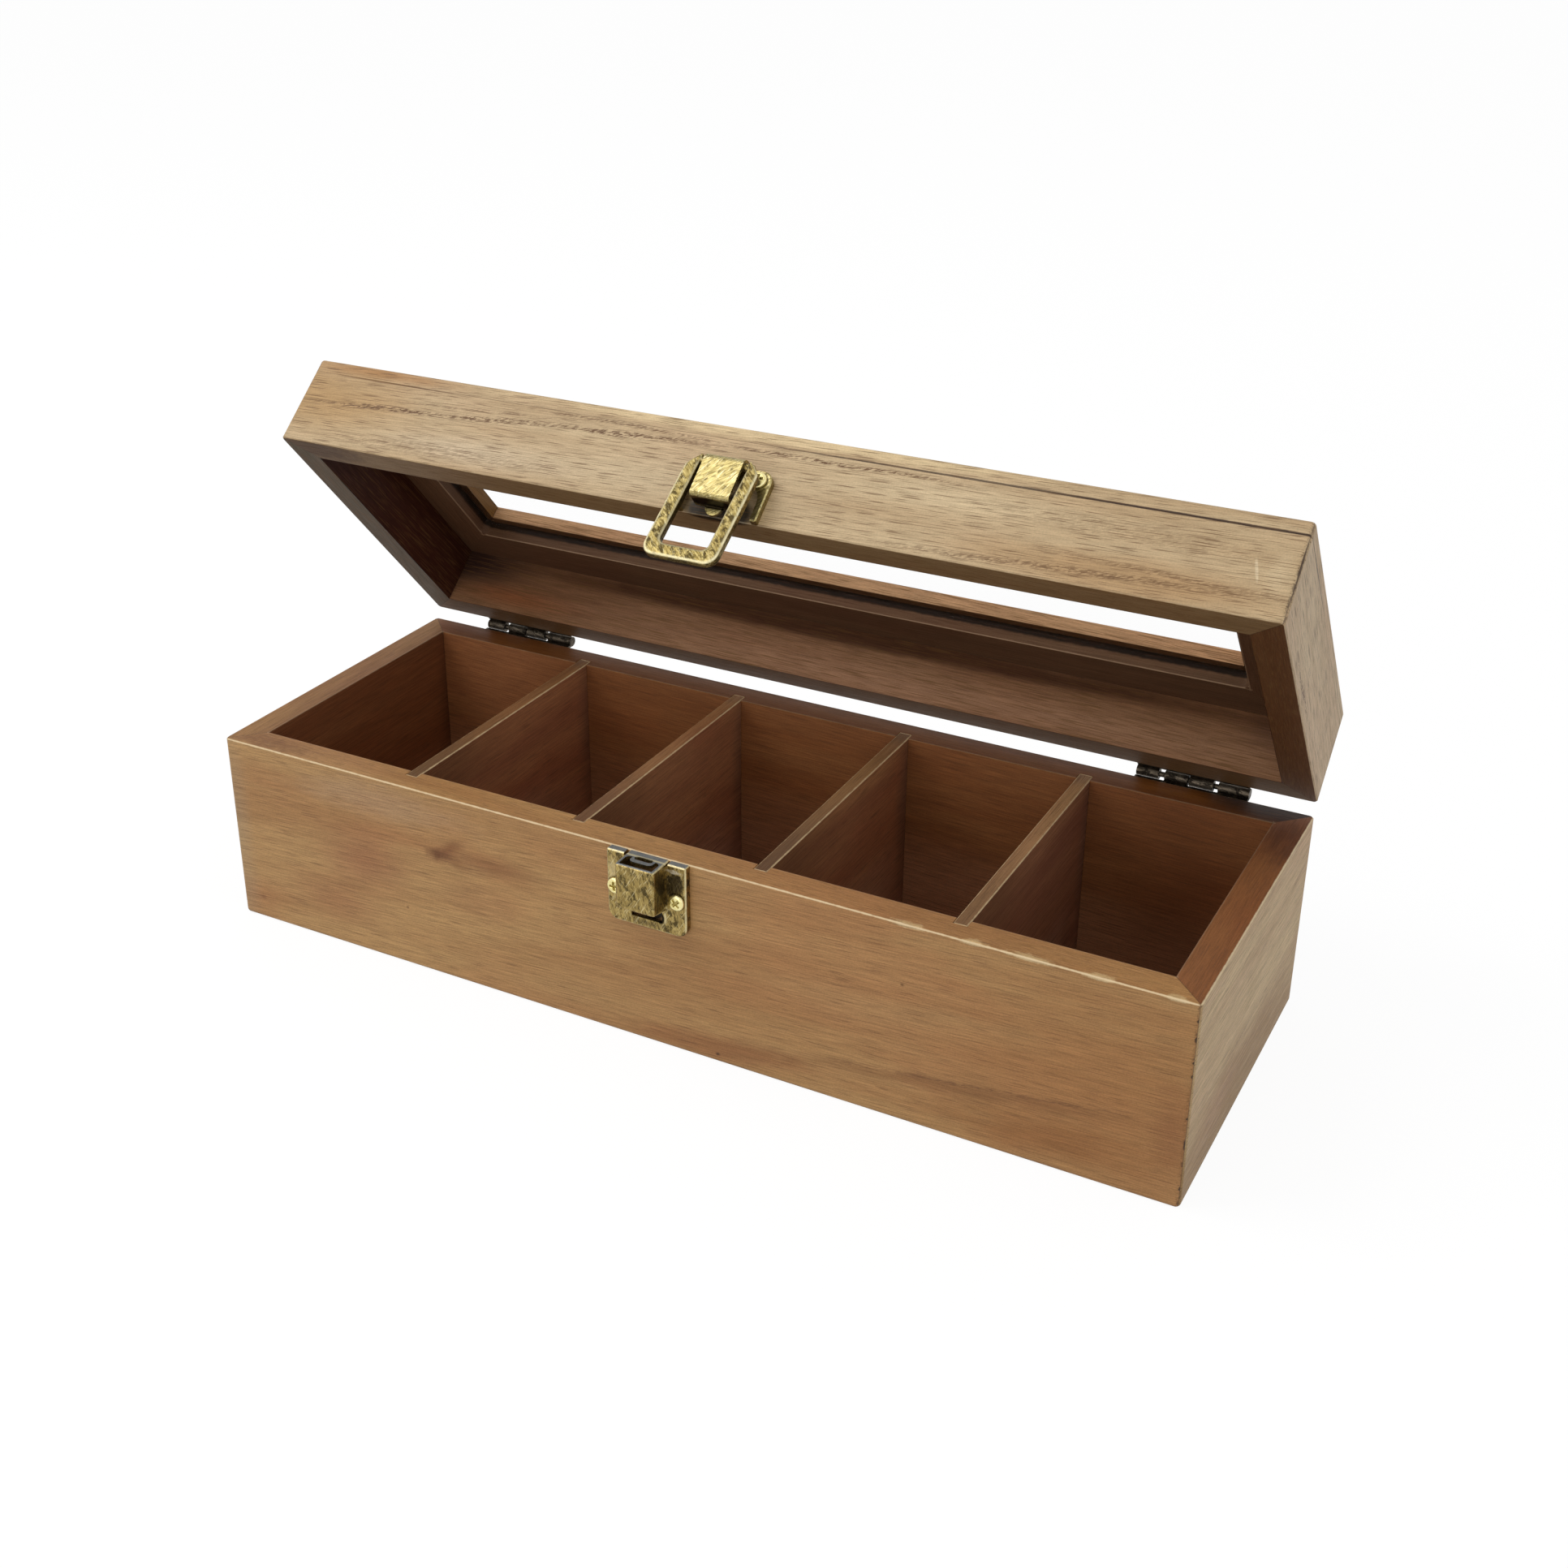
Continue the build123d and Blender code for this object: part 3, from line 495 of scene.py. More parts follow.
LID_FRONT_MARKS = [
    Mark((100, -60, JOINT_LEVEL), (122, 3, 0.5), **GLUE_LINE),
    Mark((150, -60, JOINT_LEVEL), (60, 3, 0.55), **GLUE_LINE),
    Mark((-136, -60, JOINT_LEVEL - 0.4), (32, 3, 0.34), **{**GLUE_LINE, "colour": "#5e3c18"}),
    Mark((169.6, -60, 88), (0.45, 3, 8), **GLUE_LINE),
    Mark((-146, -60, 99), (48, 4, 4), 0.85, "#ad7941", uneven=0.5),
    Mark((6, -60, 99.4), (124, 4, 3.2), 0.85, "#e8cea0", soft=0.7),
    Mark((-164, -60, 85), (56, 4, 18), 0.75, "#b78f58", "cloud", soft=0.8),
    Mark((-96, -60, 76), (52, 4, 8), 0.6, "#d8c3a4", "cloud"),
    Mark((122, -60, 74), (66, 4, 9), 0.65, "#af8757", "cloud", soft=0.8),
    Mark((-30, -60, 78), (90, 4, 12), 0.5, "#d2bc98", "cloud"),
    # Painted shade: the wood under the latch's hood, seen through the plate's arch, is nearly black
    Mark((-1.7, -60, 71), (13, 3, 8), 0.95, "#1a120b", "chip", uneven=0.1, soft=0.3),
    Mark((66, -60, 89), (70, 4, 10), 0.7, "#dfc8a0", "cloud"),
    Mark((-158, -56, 68.6), (26, 9, 1.0), 0.9, "#7a5a3a", "chip", soft=0.6),
    Mark((-136, -60, 86.4), (40, 3, 1.5), turn=-0.05, **PORE_CHAIN),
    Mark((-92, -60, 89.0), (34, 3, 1.5), turn=-0.09, **PORE_CHAIN),
    Mark((-44, -60, 91.4), (46, 3, 1.6), turn=-0.045, **PORE_CHAIN),
    Mark((-46, -60, 94.8), (46, 3, 1.1), turn=0.02, **{**PORE_CHAIN, "share": 0.7}),
    Mark((-100, -60, 91.6), (50, 3, 0.8), turn=-0.05, **{**PORE_CHAIN, "share": 0.5}),
    Mark((28, -60, 93.9), (60, 3, 1.1), turn=0.01, **PORE_CHAIN),
    Mark((120, -60, 88.0), (60, 3, 5.0), turn=0.02, **{**PORE_CHAIN, "share": 0.25}),
    Mark((106, -60, 72.8), (82, 3, 1.7), turn=-0.035, **{**PORE_CHAIN, "share": 0.65}),
    Mark((136, -60, 76.8), (52, 3, 1.6), turn=0.03, **{**PORE_CHAIN, "share": 0.5}),
    Mark((165, -60, 84), (5, 3, 9), 0.4, "#e6cfa6"),
    Mark((158.6, -60, 83), (0.6, 3, 4.6), 0.6, "#ecd9b4", "chip", turn=-0.3, soft=0.5),
    Mark((-110, -60, 74), (70, 3, 4.0), turn=-0.02, **{**PORE_CHAIN, "share": 0.3}),
]
LID_RIGHT_MARKS = [
    Mark((170, -38, JOINT_LEVEL), (3, 28, 0.36), **GLUE_LINE),
    Mark((170, -12, 72.5), (3, 30, 1.2), **PORE_CHAIN),
    Mark((160, 24, 84), (8, 40, 16), 0.6, "#6a5548", "cloud"),
    Mark((170, -59.6, 84), (3, 0.7, 13), **{**GLUE_LINE, "share": 0.8}),
]
LID_BACK_MARKS = [
    Mark((40, 50, 73), (150, 12, 8), 0.65, "#e4c9a4"),
    # Painted shade in the left and right corners
    Mark((-166, 50, 87), (52, 12, 17), 0.95, "#4c3c3a", "cloud", soft=0.7),
    Mark((160, 50, 85), (26, 12, 14), 0.5, "#75625f", "cloud"),
    Mark((-130, 50, 75), (40, 12, 7), 0.6, "#d6905a", "cloud"),
    Mark((-110, 50, 80), (50, 12, 14), 0.5, "#98714c", "cloud"),
    # Painted shade under the backing frame
    Mark((0, 50, 87.8), (190, 12, 5), 0.8, "#664936", uneven=0.4, soft=0.6),
]
LID_LEFT_MARKS = [Mark((-170, 0, JOINT_LEVEL), (3, 40, 0.3), **GLUE_LINE)]
# The top frame's underside, seen past the pane's edge, is painted nearly black as shade
LEDGE_LEVEL = 96.0
LEDGE_SHADE = (0.15, 0.09, 0.06)
TOP_FRAME_MITRE = (HALF_WIDTH - WINDOW_HALF[1]) / (HALF_LENGTH - WINDOW_HALF[0])
# Side, grain, seed and slope, then the tints of the outside, the inside, the rim and the window's walls. The
# inside and rim tints are partly stain and partly painted shade inside the open lid, and the window walls'
# tints are painted light and shade
for side, along, seed, slope, tint, hollow_tint, rim_tint, window_tint, marks in (
    ("front", "x", 11, -0.03, (1.03, 1.04, 1.04), (0.34, 0.22, 0.16), (0.43, 0.37, 0.31), (0.40, 0.28, 0.20),
     LID_FRONT_MARKS),
    ("back", "x", 12, 0.02, (1, 1, 1), (0.47, 0.33, 0.29), (0.25, 0.19, 0.15), (0.80, 0.63, 0.55),
     LID_BACK_MARKS),
    ("left", "y", 13, 0.02, (1, 1, 1), (0.11, 0.045, 0.045), (0.17, 0.155, 0.13), (0.38, 0.26, 0.13),
     LID_LEFT_MARKS),
    ("right", "y", 14, -0.05, (1.08, 1.08, 1.08), (0.24, 0.14, 0.09), (0.20, 0.12, 0.08), (0.30, 0.20, 0.13),
     LID_RIGHT_MARKS),
):
    finish_node(f"lid_{side}_rail", stained_wood(
        f"stained hardwood lid {side} rail waxed", LID_TONES, along, seed, LID_ARRISES, on_lid=True,
        slope=slope, mitre=1, tint=tint, hollow=INNER_HALF, hollow_tint=hollow_tint,
        rim=[LID_RIM + depth for depth in RIM_DEPTHS], rim_tint=rim_tint, marks=marks,
    ))
    finish_node(f"lid_top_{side}_strip", stained_wood(
        f"stained hardwood lid top {side} strip waxed", LID_TONES, along, seed + 10, LID_ARRISES, on_lid=True,
        slope=slope, mitre=TOP_FRAME_MITRE, tint=tint, hollow=WINDOW_HALF, hollow_tint=window_tint,
        rim=[LEDGE_LEVEL + depth for depth in RIM_DEPTHS], rim_tint=LEDGE_SHADE, marks=marks,
    ))

# BACKING FRAME
# Four strips glued inside the rails behind the top frame, with a routed pocket for the pane. They take
# the same deep stain as the compartments, and the edge of the pocket is rubbed pale.

BACKING_TONES = {
    **INNER_TONES, "dark": "#5d4431", "light": "#6c4f39", "blush": "#5a3b2a", "worn": "#a98c70",
    "wear_ragged": 0.35, "gloss": 0.08, "seam_share": 0.3,
}
POCKET_HALF = (145.4, 32.2)
BACKING_LEVEL = 90.0
POCKET_RISE = 20
BACKING_ARRISES = ((
    (0, 0, BACKING_LEVEL + POCKET_RISE), (*POCKET_HALF, POCKET_RISE), 0.34, 0.6,
    (BACKING_LEVEL + 1, BACKING_LEVEL + 0.5),
),)
# Painted shade: the gap round the pane's edge on the pocket wall is nearly black
PANE_GAP_SHADE = {"edge": "chip", "uneven": 0.4, "soft": 0.4, "share": 0.92, "colour": "#150c07"}
BACKING_MARKS = [Mark((0, 0, 95.4), (900, 900, 2.5), **PANE_GAP_SHADE)]
for side, along, seed in (("front", "x", 31), ("back", "x", 32), ("left", "y", 33), ("right", "y", 34)):
    finish_node(f"lid_backing_{side}_strip", stained_wood(
        f"stained hardwood backing {side} strip", BACKING_TONES, along, seed, BACKING_ARRISES, on_lid=True,
        marks=BACKING_MARKS,
    ))

# WINDOW PANE
# Clear sheet, 2 mm thick, glued under the top frame. It adds almost no colour, only a faint gloss.

SMEAR_PATTERN = (("smear", 60, 22, 4, 0.6),)
PANE_ROUGH = {"From Min": 0.4, "From Max": 0.7, "To Min": 0.02, "To Max": 0.14}
pane, pane_tree, pane_shader = new_material("clear pane polished")
pane_place = closed_place(pane_tree, True)
pane_smear = draw_patterns(pane_tree, pane_place, SMEAR_PATTERN, "x", (0, 0, 0), 9)["smear"]
pane_rough = add_node(pane_tree, "MapRange", {}, {"Value": pane_smear, **PANE_ROUGH}).outputs[0]
feed(pane_tree, pane_shader, {
    "Base Color": linear("#8e9694"), "IOR": 1.5, "Alpha": 0.012, "Roughness": pane_rough,
})
finish_node("window_pane", pane)

# HINGES
# Small butt hinges, stamped and rolled from thin steel with a dark bronze finish, screwed to the
# outside of the back boards.

# Metal patterns: name, length along the brushing and width across it in mm, detail and roughness
METAL_PATTERNS = (("line", 4.5, 0.55, 3, 0.6), ("chip", 3.2, 2.0, 5, 0.7), ("fleck", 1.7, 0.7, 3, 0.6))
SCRATCH_PATTERN = (("scratch", 5, 0.26, 1, 0.5),)
LINE_SPAN, SCRATCH_SPAN = {"From Min": 0.36, "From Max": 0.64}, {"From Min": 0.62, "From Max": 0.70}
RUB_SPAN = {"From Min": 0.35, "From Max": 0.6, "To Min": 0.35, "To Max": 1}
FLECK_FADE, FLECK_SHARE, PATCH_SHARE = 0.1, 0.6, 0.85
# The painted grey reflection on a shelf, and the bright line along the edges of a plate, worn and with a
# painted highlight, in mm
SHELF_DEPTHS, SHELF_REFLECTION_SHARE, SHELF_REFLECTION_GREY = (0.25, 0.05), 0.9, "#75797c"
EDGE_FADE, EDGE_RAGGED = {"From Min": 0.2, "From Max": -0.15, "To Max": 0.6}, 0.8
PATINA_MATT = 0.2
METAL_BUMP = {"Strength": 0.35, "Distance": 0.00012}


def antique_metal(name, tones, seed, on_lid, grey_reflection_above=None, marks=(), worn_and_shaded=False, blocks=()):
    """Aged plate: brush lines, flecks and soft patches mix a bright tone, a mid tone and a dark patina, thin
    scratches are bright, a face above a given level takes a painted grey reflection, and edges are worn
    bright with a painted highlight, by a wear and shading attribute that also paints shade where it is
    negative, or by the distance to the edges of given blocks"""
    material, tree, shader = new_material(name)
    place = closed_place(tree, on_lid)
    patterns = draw_patterns(tree, place, METAL_PATTERNS, "x", (0, tones["brush_turn"], 0), seed)
    scratch_turn = (0, tones["scratch_turn"], 0)
    scratch = draw_patterns(tree, place, SCRATCH_PATTERN, "x", scratch_turn, seed + 3)["scratch"]
    line_share = add_node(tree, "MapRange", {}, {"Value": patterns["line"], **LINE_SPAN}).outputs[0]
    fleck_share = add_node(tree, "MapRange", {}, {
        "Value": patterns["fleck"], "From Min": tones["fleck_from"],
        "From Max": tones["fleck_from"] + FLECK_FADE, "To Max": FLECK_SHARE,
    }).outputs[0]
    patch_from, patch_full = tones["patina"]
    patch_share = add_node(tree, "MapRange", SOFTLY, {
        "Value": patterns["chip"], "From Min": patch_from, "From Max": patch_full, "To Max": PATCH_SHARE,
    }).outputs[0]
    scratch_share = add_node(tree, "MapRange", {}, {
        "Value": scratch, **SCRATCH_SPAN, "To Max": tones["scratch_share"],
    }).outputs[0]
    colour = add_node(tree, "Mix", MIXED, {
        "Factor": line_share, 6: linear(tones["mid"]), 7: linear(tones["bright"]),
    }).outputs[2]
    for share, tone in ((fleck_share, "fleck"), (patch_share, "dark"), (scratch_share, "scratch")):
        colour = add_node(tree, "Mix", MIXED, {"Factor": share, 6: colour, 7: linear(tones[tone])}).outputs[2]
    if grey_reflection_above:
        level = add_node(tree, "SeparateXYZ", {}, {0: place}).outputs[2]
        clear, grey_full = (grey_reflection_above - depth for depth in SHELF_DEPTHS)
        grey = add_node(tree, "MapRange", {}, {
            "Value": level, "From Min": clear, "From Max": grey_full, "To Max": SHELF_REFLECTION_SHARE,
        }).outputs[0]
        colour = add_node(tree, "Mix", MIXED, {"Factor": grey, 6: colour, 7: linear(SHELF_REFLECTION_GREY)}).outputs[2]
    colour = lay_marks(tree, place, colour, marks, patterns)
    for centre, half in blocks:
        edge = block_gaps(tree, place, centre, half)[3]
        reach = add_node(tree, "Math", {"operation": "MULTIPLY_ADD"}, {
            0: patterns["chip"], 1: -EDGE_RAGGED, 2: edge,
        }).outputs[0]
        bare = add_node(tree, "MapRange", {}, {"Value": reach, **EDGE_FADE}).outputs[0]
        colour = add_node(tree, "Mix", MIXED, {
            "Factor": bare, 6: colour, 7: linear(tones["scratch"]),
        }).outputs[2]
    if worn_and_shaded:
        rub_and_shading = add_node(tree, "Attribute", {"attribute_name": "rub_and_shading"}, {}).outputs["Fac"]
        uneven = add_node(tree, "MapRange", {}, {"Value": patterns["chip"], **RUB_SPAN}).outputs[0]
        clamped = {"operation": "MULTIPLY", "use_clamp": True}
        brighter = add_node(tree, "Math", clamped, {0: rub_and_shading, 1: uneven}).outputs[0]
        darker = add_node(tree, "Math", clamped, {0: rub_and_shading, 1: -1.0}).outputs[0]
        for share, tone in ((brighter, "scratch"), (darker, "dark")):
            colour = add_node(tree, "Mix", MIXED, {
                "Factor": share, 6: colour, 7: linear(tones[tone]),
            }).outputs[2]
    rough = add_node(tree, "MapRange", {}, {
        "Value": patch_share, "To Min": tones["rough"], "To Max": tones["rough"] + PATINA_MATT,
    }).outputs[0]
    height = add_node(tree, "Math", {"operation": "SUBTRACT"}, {
        0: patterns["line"], 1: fleck_share,
    }).outputs[0]
    bump = add_node(tree, "Bump", {}, {"Height": height, **METAL_BUMP}).outputs[0]
    feed(tree, shader, {"Base Color": colour, "Metallic": 1, "Roughness": rough, "Normal": bump})
    return material


def swung_open(points):
    """Turns closed-lid points in mm into the open lid's place: y and z turn about the hinge line, x stays"""
    y, z = points[..., 1] - HINGE_MM[1], points[..., 2] - HINGE_MM[2]
    cos, sin = math.cos(LID_ANGLE), math.sin(LID_ANGLE)
    turned = [points[..., 0], HINGE_MM[1] + y * cos + z * sin, HINGE_MM[2] - y * sin + z * cos]
    return np.stack(turned, axis=-1)


def shell_piece(name, points, rub_and_shading, material, body, node):
    """Closed shells from points in mm, shells x rows x columns x 3: the columns run round and meet, the rows
    run along and are capped at both ends, and the faces are turned outwards"""
    shells, rows, columns = points.shape[:3]
    index = np.arange(shells * rows * columns).reshape(shells, rows, columns)
    after = np.roll(index, -1, axis=2)
    sides = np.stack([index[:, :-1], after[:, :-1], after[:, 1:], index[:, 1:]], axis=-1).reshape(-1, 4)
    caps = np.concatenate([index[:, 0, ::-1], index[:, -1]])
    mesh = bpy.data.meshes.new(name)
    mesh.from_pydata((points / MM_PER_M).reshape(-1, 3).tolist(), [], sides.tolist() + caps.tolist())
    shell = bmesh.new()
    shell.from_mesh(mesh)
    bmesh.ops.recalc_face_normals(shell, faces=shell.faces)
    shell.to_mesh(mesh)
    shell.free()
    mesh.polygons.foreach_set("use_smooth", np.ones(len(mesh.polygons), dtype=bool))
    mesh.attributes.new("rub_and_shading", "FLOAT", "POINT").data.foreach_set("value", rub_and_shading.reshape(-1))
    mesh.materials.append(material)
    piece = bpy.data.objects.new(name, mesh)
    bpy.context.scene.collection.objects.link(piece)
    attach(piece, body)
    if node:
        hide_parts(node)
    return piece


SCREW_RINGS, SCREW_SIDES = 40, 72
# The first rows are the shank and the head's outermost ring
SCREW_SWEEP, HIDDEN_ROWS = (90, 1.5), 3
CROSS_WIDTH, CROSS_SHARE, CROSS_DEPTH, CROSS_SOFT = 0.8, 0.58, 0.5, 0.14
# Painted shade in the cross and on the hidden rows under the head, and wear with a painted highlight on
# the rim from a share of the radius on
CROSS_SHADE, HIDDEN_SHADE, RIM_WEAR_AND_HIGHLIGHT, RIM_GAIN, RIM_FROM = -0.75, -0.6, 0.6, 2, 0.75


def pan_screws(centres, facing, head_radius, head_height, shank_radius, shank_depth, turns):
    """Pan head screws with a cross recess, as shells of points and their wear and shading: a painted
    highlight on the worn rim, painted shade in the cross and under the head. Across the head of radius R the
    height is h (1 - (r / R)^4)^(1/4), less the cross, where one of u and v is under half the arm's width and
    the other under half its length; below the head the shank is a plain cylinder"""
    sweep = np.radians(np.linspace(*SCREW_SWEEP, SCREW_RINGS))
    radius = np.concatenate([(shank_radius, shank_radius), head_radius * np.sin(sweep)])
    height = head_height * (1 - np.minimum(np.sin(sweep), 1) ** 4) ** 0.25
    height = np.concatenate([(-shank_depth, 0), height])
    around = np.arange(SCREW_SIDES) * 2 * math.pi / SCREW_SIDES
    u = radius[:, None] * np.cos(around)
    v = radius[:, None] * np.sin(around)
    half_length = head_radius * CROSS_SHARE
    wide_u, wide_v = (np.clip((CROSS_WIDTH / 2 - abs(w)) / CROSS_SOFT + 0.5, 0, 1) for w in (u, v))
    long_u, long_v = (np.clip((half_length - abs(w)) / CROSS_SOFT + 0.5, 0, 1) for w in (u, v))
    cross = np.maximum(wide_u * long_v, wide_v * long_u)
    cross[:HIDDEN_ROWS] = 0
    lift = height[:, None] - head_height * CROSS_DEPTH * cross
    angle = np.asarray(turns)[:, None, None]
    across = u * np.cos(angle) - v * np.sin(angle)
    along = u * np.sin(angle) + v * np.cos(angle)
    centre = np.asarray(centres)[:, None, None, :]
    points = centre + np.stack([across, facing * (lift + 0 * across), along], axis=-1)
    share = radius[:, None] / head_radius + 0 * cross
    rub_and_shading = np.where(cross > 0, CROSS_SHADE * cross, np.clip((share - RIM_FROM) * RIM_GAIN, 0, RIM_WEAR_AND_HIGHLIGHT))
    rub_and_shading[:HIDDEN_ROWS] = HIDDEN_SHADE
    return points, np.broadcast_to(rub_and_shading, points.shape[:3])


# Tones of a metal: its colours, the noise from which flecks start and between which patina sets in, the
# share of its scratches, its roughness, and the turns of its brush lines and scratches about y
BRONZE_TONES = {
    "bright": "#6b6154", "mid": "#3f382f", "fleck": "#2b251e", "fleck_from": 0.52, "dark": "#1e1915",
    "patina": (0.48, 0.60), "scratch": "#8c8170", "scratch_share": 0.35, "rough": 0.46, "brush_turn": 0.2,
    "scratch_turn": 1.1,
}
# A hinge's middle along x, the distance between its screws and the y of their seats, in mm
HINGE_X, HINGE_SCREW_SPREAD, HINGE_SEAT = 129.35, 22.0, 60.85
# A screw's head radius and height, and its shank's radius and depth, in mm
HINGE_HEAD = (2.2, 0.9, 1.1, 6.0)
base_bronze = antique_metal("bronzed steel base hinge leaf", BRONZE_TONES, 6, False)
lid_bronze = antique_metal("bronzed steel lid hinge leaf", BRONZE_TONES, 7, True)
for hand in ("left", "right"):
    finish_node(f"hinge_base_leaf_{hand}", base_bronze)
    finish_node(f"hinge_pin_{hand}", base_bronze)
    finish_node(f"hinge_lid_leaf_{hand}", lid_bronze)
for half, body, level, turns in (
    ("base", "box", 58.35, (0.3, 1.0, 0.1, 0.8)), ("lid", "lid", 78.95, (0.5, 0.2, 1.2, 0.7)),
):
    on_lid = body == "lid"
    centres = [
        (side * HINGE_X + end * HINGE_SCREW_SPREAD / 2, HINGE_SEAT, level)
        for side in (-1, 1) for end in (-1, 1)
    ]
    points, rub_and_shading = pan_screws(centres, 1, *HINGE_HEAD, turns)
    shell_piece(
        f"hinge_{half}_pan_screws", swung_open(points) if on_lid else points, rub_and_shading,
        antique_metal(f"bronzed steel {body} hinge screws", BRONZE_TONES, 8, on_lid, worn_and_shaded=True),
        body, f"hinge_{half}_screws",
    )

# CATCH AND LATCH PLATES
# Two plates stamped from one brass sheet, aged dark and brushed back, so that the lows keep a dark
# patina and the brushed faces shine. The shelf of the catch carries a painted grey reflection, the edges a
# painted highlight, and dark marks paint shade under the latch's hood and round the catch's lug and screws.

LATCH_MIDDLE = -1.7
CATCH_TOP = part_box("catch_plate")[1][2] * MM_PER_M
CATCH_TONES = {
    "bright": "#b49d62", "mid": "#857040", "fleck": "#4a3d22", "fleck_from": 0.52, "dark": "#433820",
    "patina": (0.50, 0.62), "scratch": "#e6d9ab", "scratch_share": 0.4, "rough": 0.36, "brush_turn": 1.3,
    "scratch_turn": -1.0,
}
LATCH_TONES = {
    "bright": "#b9aa74", "mid": "#87794a", "fleck": "#5d5230", "fleck_from": 0.55, "dark": "#4f4429",
    "patina": (0.53, 0.70), "scratch": "#eee5c2", "scratch_share": 0.5, "rough": 0.36, "brush_turn": -0.7,
    "scratch_turn": -1.1,
}
RING_TONES = {
    "bright": "#b09f68", "mid": "#7d6c3c", "fleck": "#4a3c1e", "fleck_from": 0.53, "dark": "#41351d",
    "patina": (0.46, 0.60), "scratch": "#ece2b8", "scratch_share": 0.3, "rough": 0.36, "brush_turn": 0.7,
    "scratch_turn": 0.9,
}
# Painted shade lies round the screw heads and in the corner beside the lug, and the lug's bright corner is
# rubbed
SEAT_SHADE = {
    "radii": (3.35, 3, 3.35), "edge": "chip", "uneven": 0.2, "soft": 0.25, "share": 0.8, "colour": "#2a2115",
}
CATCH_SCREWS = [(LATCH_MIDDLE + side * 10.9, -62.5, 56.1) for side in (-1, 1)]
LATCH_SCREWS = [(LATCH_MIDDLE + side * 9.9, -62.5, 82.3) for side in (-1, 1)]
CATCH_MARKS = [
    Mark((-13.6, -62.5, 60), (2.6, 2, 8.5), 0.55, "#d0bd90", "chip"),
    # Painted shade of the lug on the plate beside it
    Mark((8.6, -62, 61), (4.4, 4, 5.6), 0.85, "#30271a", "chip", uneven=2.2, soft=0.5),
    Mark((8.2, -62.5, 66.2), (3.6, 2, 0.8), 0.7, "#d8cdb4", "chip", uneven=1.6, soft=0.5),
    # Painted shade on the lug's right side
    Mark((5.6, -66, 60), (0.9, 6, 9), 0.7, "#3a2f1e", "chip", uneven=0.6, soft=0.5),
    Mark((-2, -62, 45.6), (8, 3, 2.0), 0.7, "#4a3d28", "chip", uneven=1.8),
    Mark((4.8, -62.5, 49.0), (0.7, 2, 2.4), 0.45, "#dccfa4", "chip", uneven=0.3, soft=0.5),
    # Painted shade in the slot under the lug
    Mark((3.2, -62, 48.6), (1.7, 2, 2.6), 0.97, "#140e09", "chip", uneven=0.2, soft=0.3),
    *(Mark(centre, **SEAT_SHADE) for centre in CATCH_SCREWS),
]
LATCH_MARKS = [
    # Painted shade inside and under the hood
    Mark((LATCH_MIDDLE, -65, 77.4), (7, 3.3, 7), 0.95, "#1c150d", "chip", uneven=0.2, soft=0.3),
    Mark((LATCH_MIDDLE, -65.6, 70.2), (10, 3.2, 0.9), 0.97, "#1c150d", "chip", uneven=0.2, soft=0.3),
    *(Mark(centre, **SEAT_SHADE) for centre in LATCH_SCREWS),
]
PLATE_HALF_WIDTH, CATCH_HEIGHT, LUG_HALF_WIDTH, LUG_HEIGHT, LUG_FRONT = 14, 24.6, 6.9, 15.3, 72
# Edges of the plate and the lug, worn bright with a painted highlight
CATCH_BLOCKS = (
    ((LATCH_MIDDLE, 0, CATCH_TOP - CATCH_HEIGHT / 2), (PLATE_HALF_WIDTH, 62.5, CATCH_HEIGHT / 2)),
    ((LATCH_MIDDLE, 0, CATCH_TOP - LUG_HEIGHT / 2), (LUG_HALF_WIDTH, LUG_FRONT, LUG_HEIGHT / 2)),
)
finish_node("catch_plate", antique_metal(
    "antique brass catch plate brushed", CATCH_TONES, 1, False, grey_reflection_above=CATCH_TOP, marks=CATCH_MARKS,
    blocks=CATCH_BLOCKS,
))
finish_node("latch_plate", antique_metal(
    "antique brass latch plate brushed", LATCH_TONES, 2, True, marks=LATCH_MARKS,
))

# LATCH SCREWS
# Small pan head screws of pale polished brass with a cross recess, two in each plate. The crosses and
# the undersides of the heads are darkened as painted shade, and the rims are worn bright with a painted
# highlight.

SCREW_TONES = {
    "bright": "#efe4a8", "mid": "#e0d28c", "fleck": "#c4b168", "fleck_from": 0.58, "dark": "#8a7636",
    "patina": (0.66, 0.8), "scratch": "#fbf4cc", "scratch_share": 0.3, "rough": 0.3, "brush_turn": 0.4,
    "scratch_turn": 1.3,
}
SCREW_HEAD = (2.7, 1.4, 1.1, 8.5)
for name, body, centres, turns in (
    ("catch", "box", CATCH_SCREWS, (0.1, 0.75)), ("latch", "lid", LATCH_SCREWS, (0.5, 0.2)),
):
    on_lid = body == "lid"
    points, rub_and_shading = pan_screws(centres, -1, *SCREW_HEAD, turns)
    shell_piece(
        f"{name}_pan_screws", swung_open(points) if on_lid else points, rub_and_shading,
        antique_metal(f"pale brass {name} screws polished", SCREW_TONES, 4, on_lid, worn_and_shaded=True),
        body, f"{name}_screws",
    )

# LATCH RING
# Cast brass ring with sloping shoulders, hanging by its pin in the folded strap. Tumbling has rounded
# every edge, and the patina is rubbed through to bright metal along them, with a painted highlight; the
# inner flat of each bar is darkened as painted shade.

RING_PIVOT = (LATCH_MIDDLE, -67.45, 83.25)
RING_LEAN = math.radians(6.5)
RING_HALF, RING_BAR, RING_REACH, RING_DEPTH = 12.55, 4.5, 36.45, 2.8
SHOULDER_RISE, OUTER_ROUND, INNER_ROUND = 1.5, 4.0, 2.4
PIN_RADIUS, PIN_HALF = 1.3, 10.3


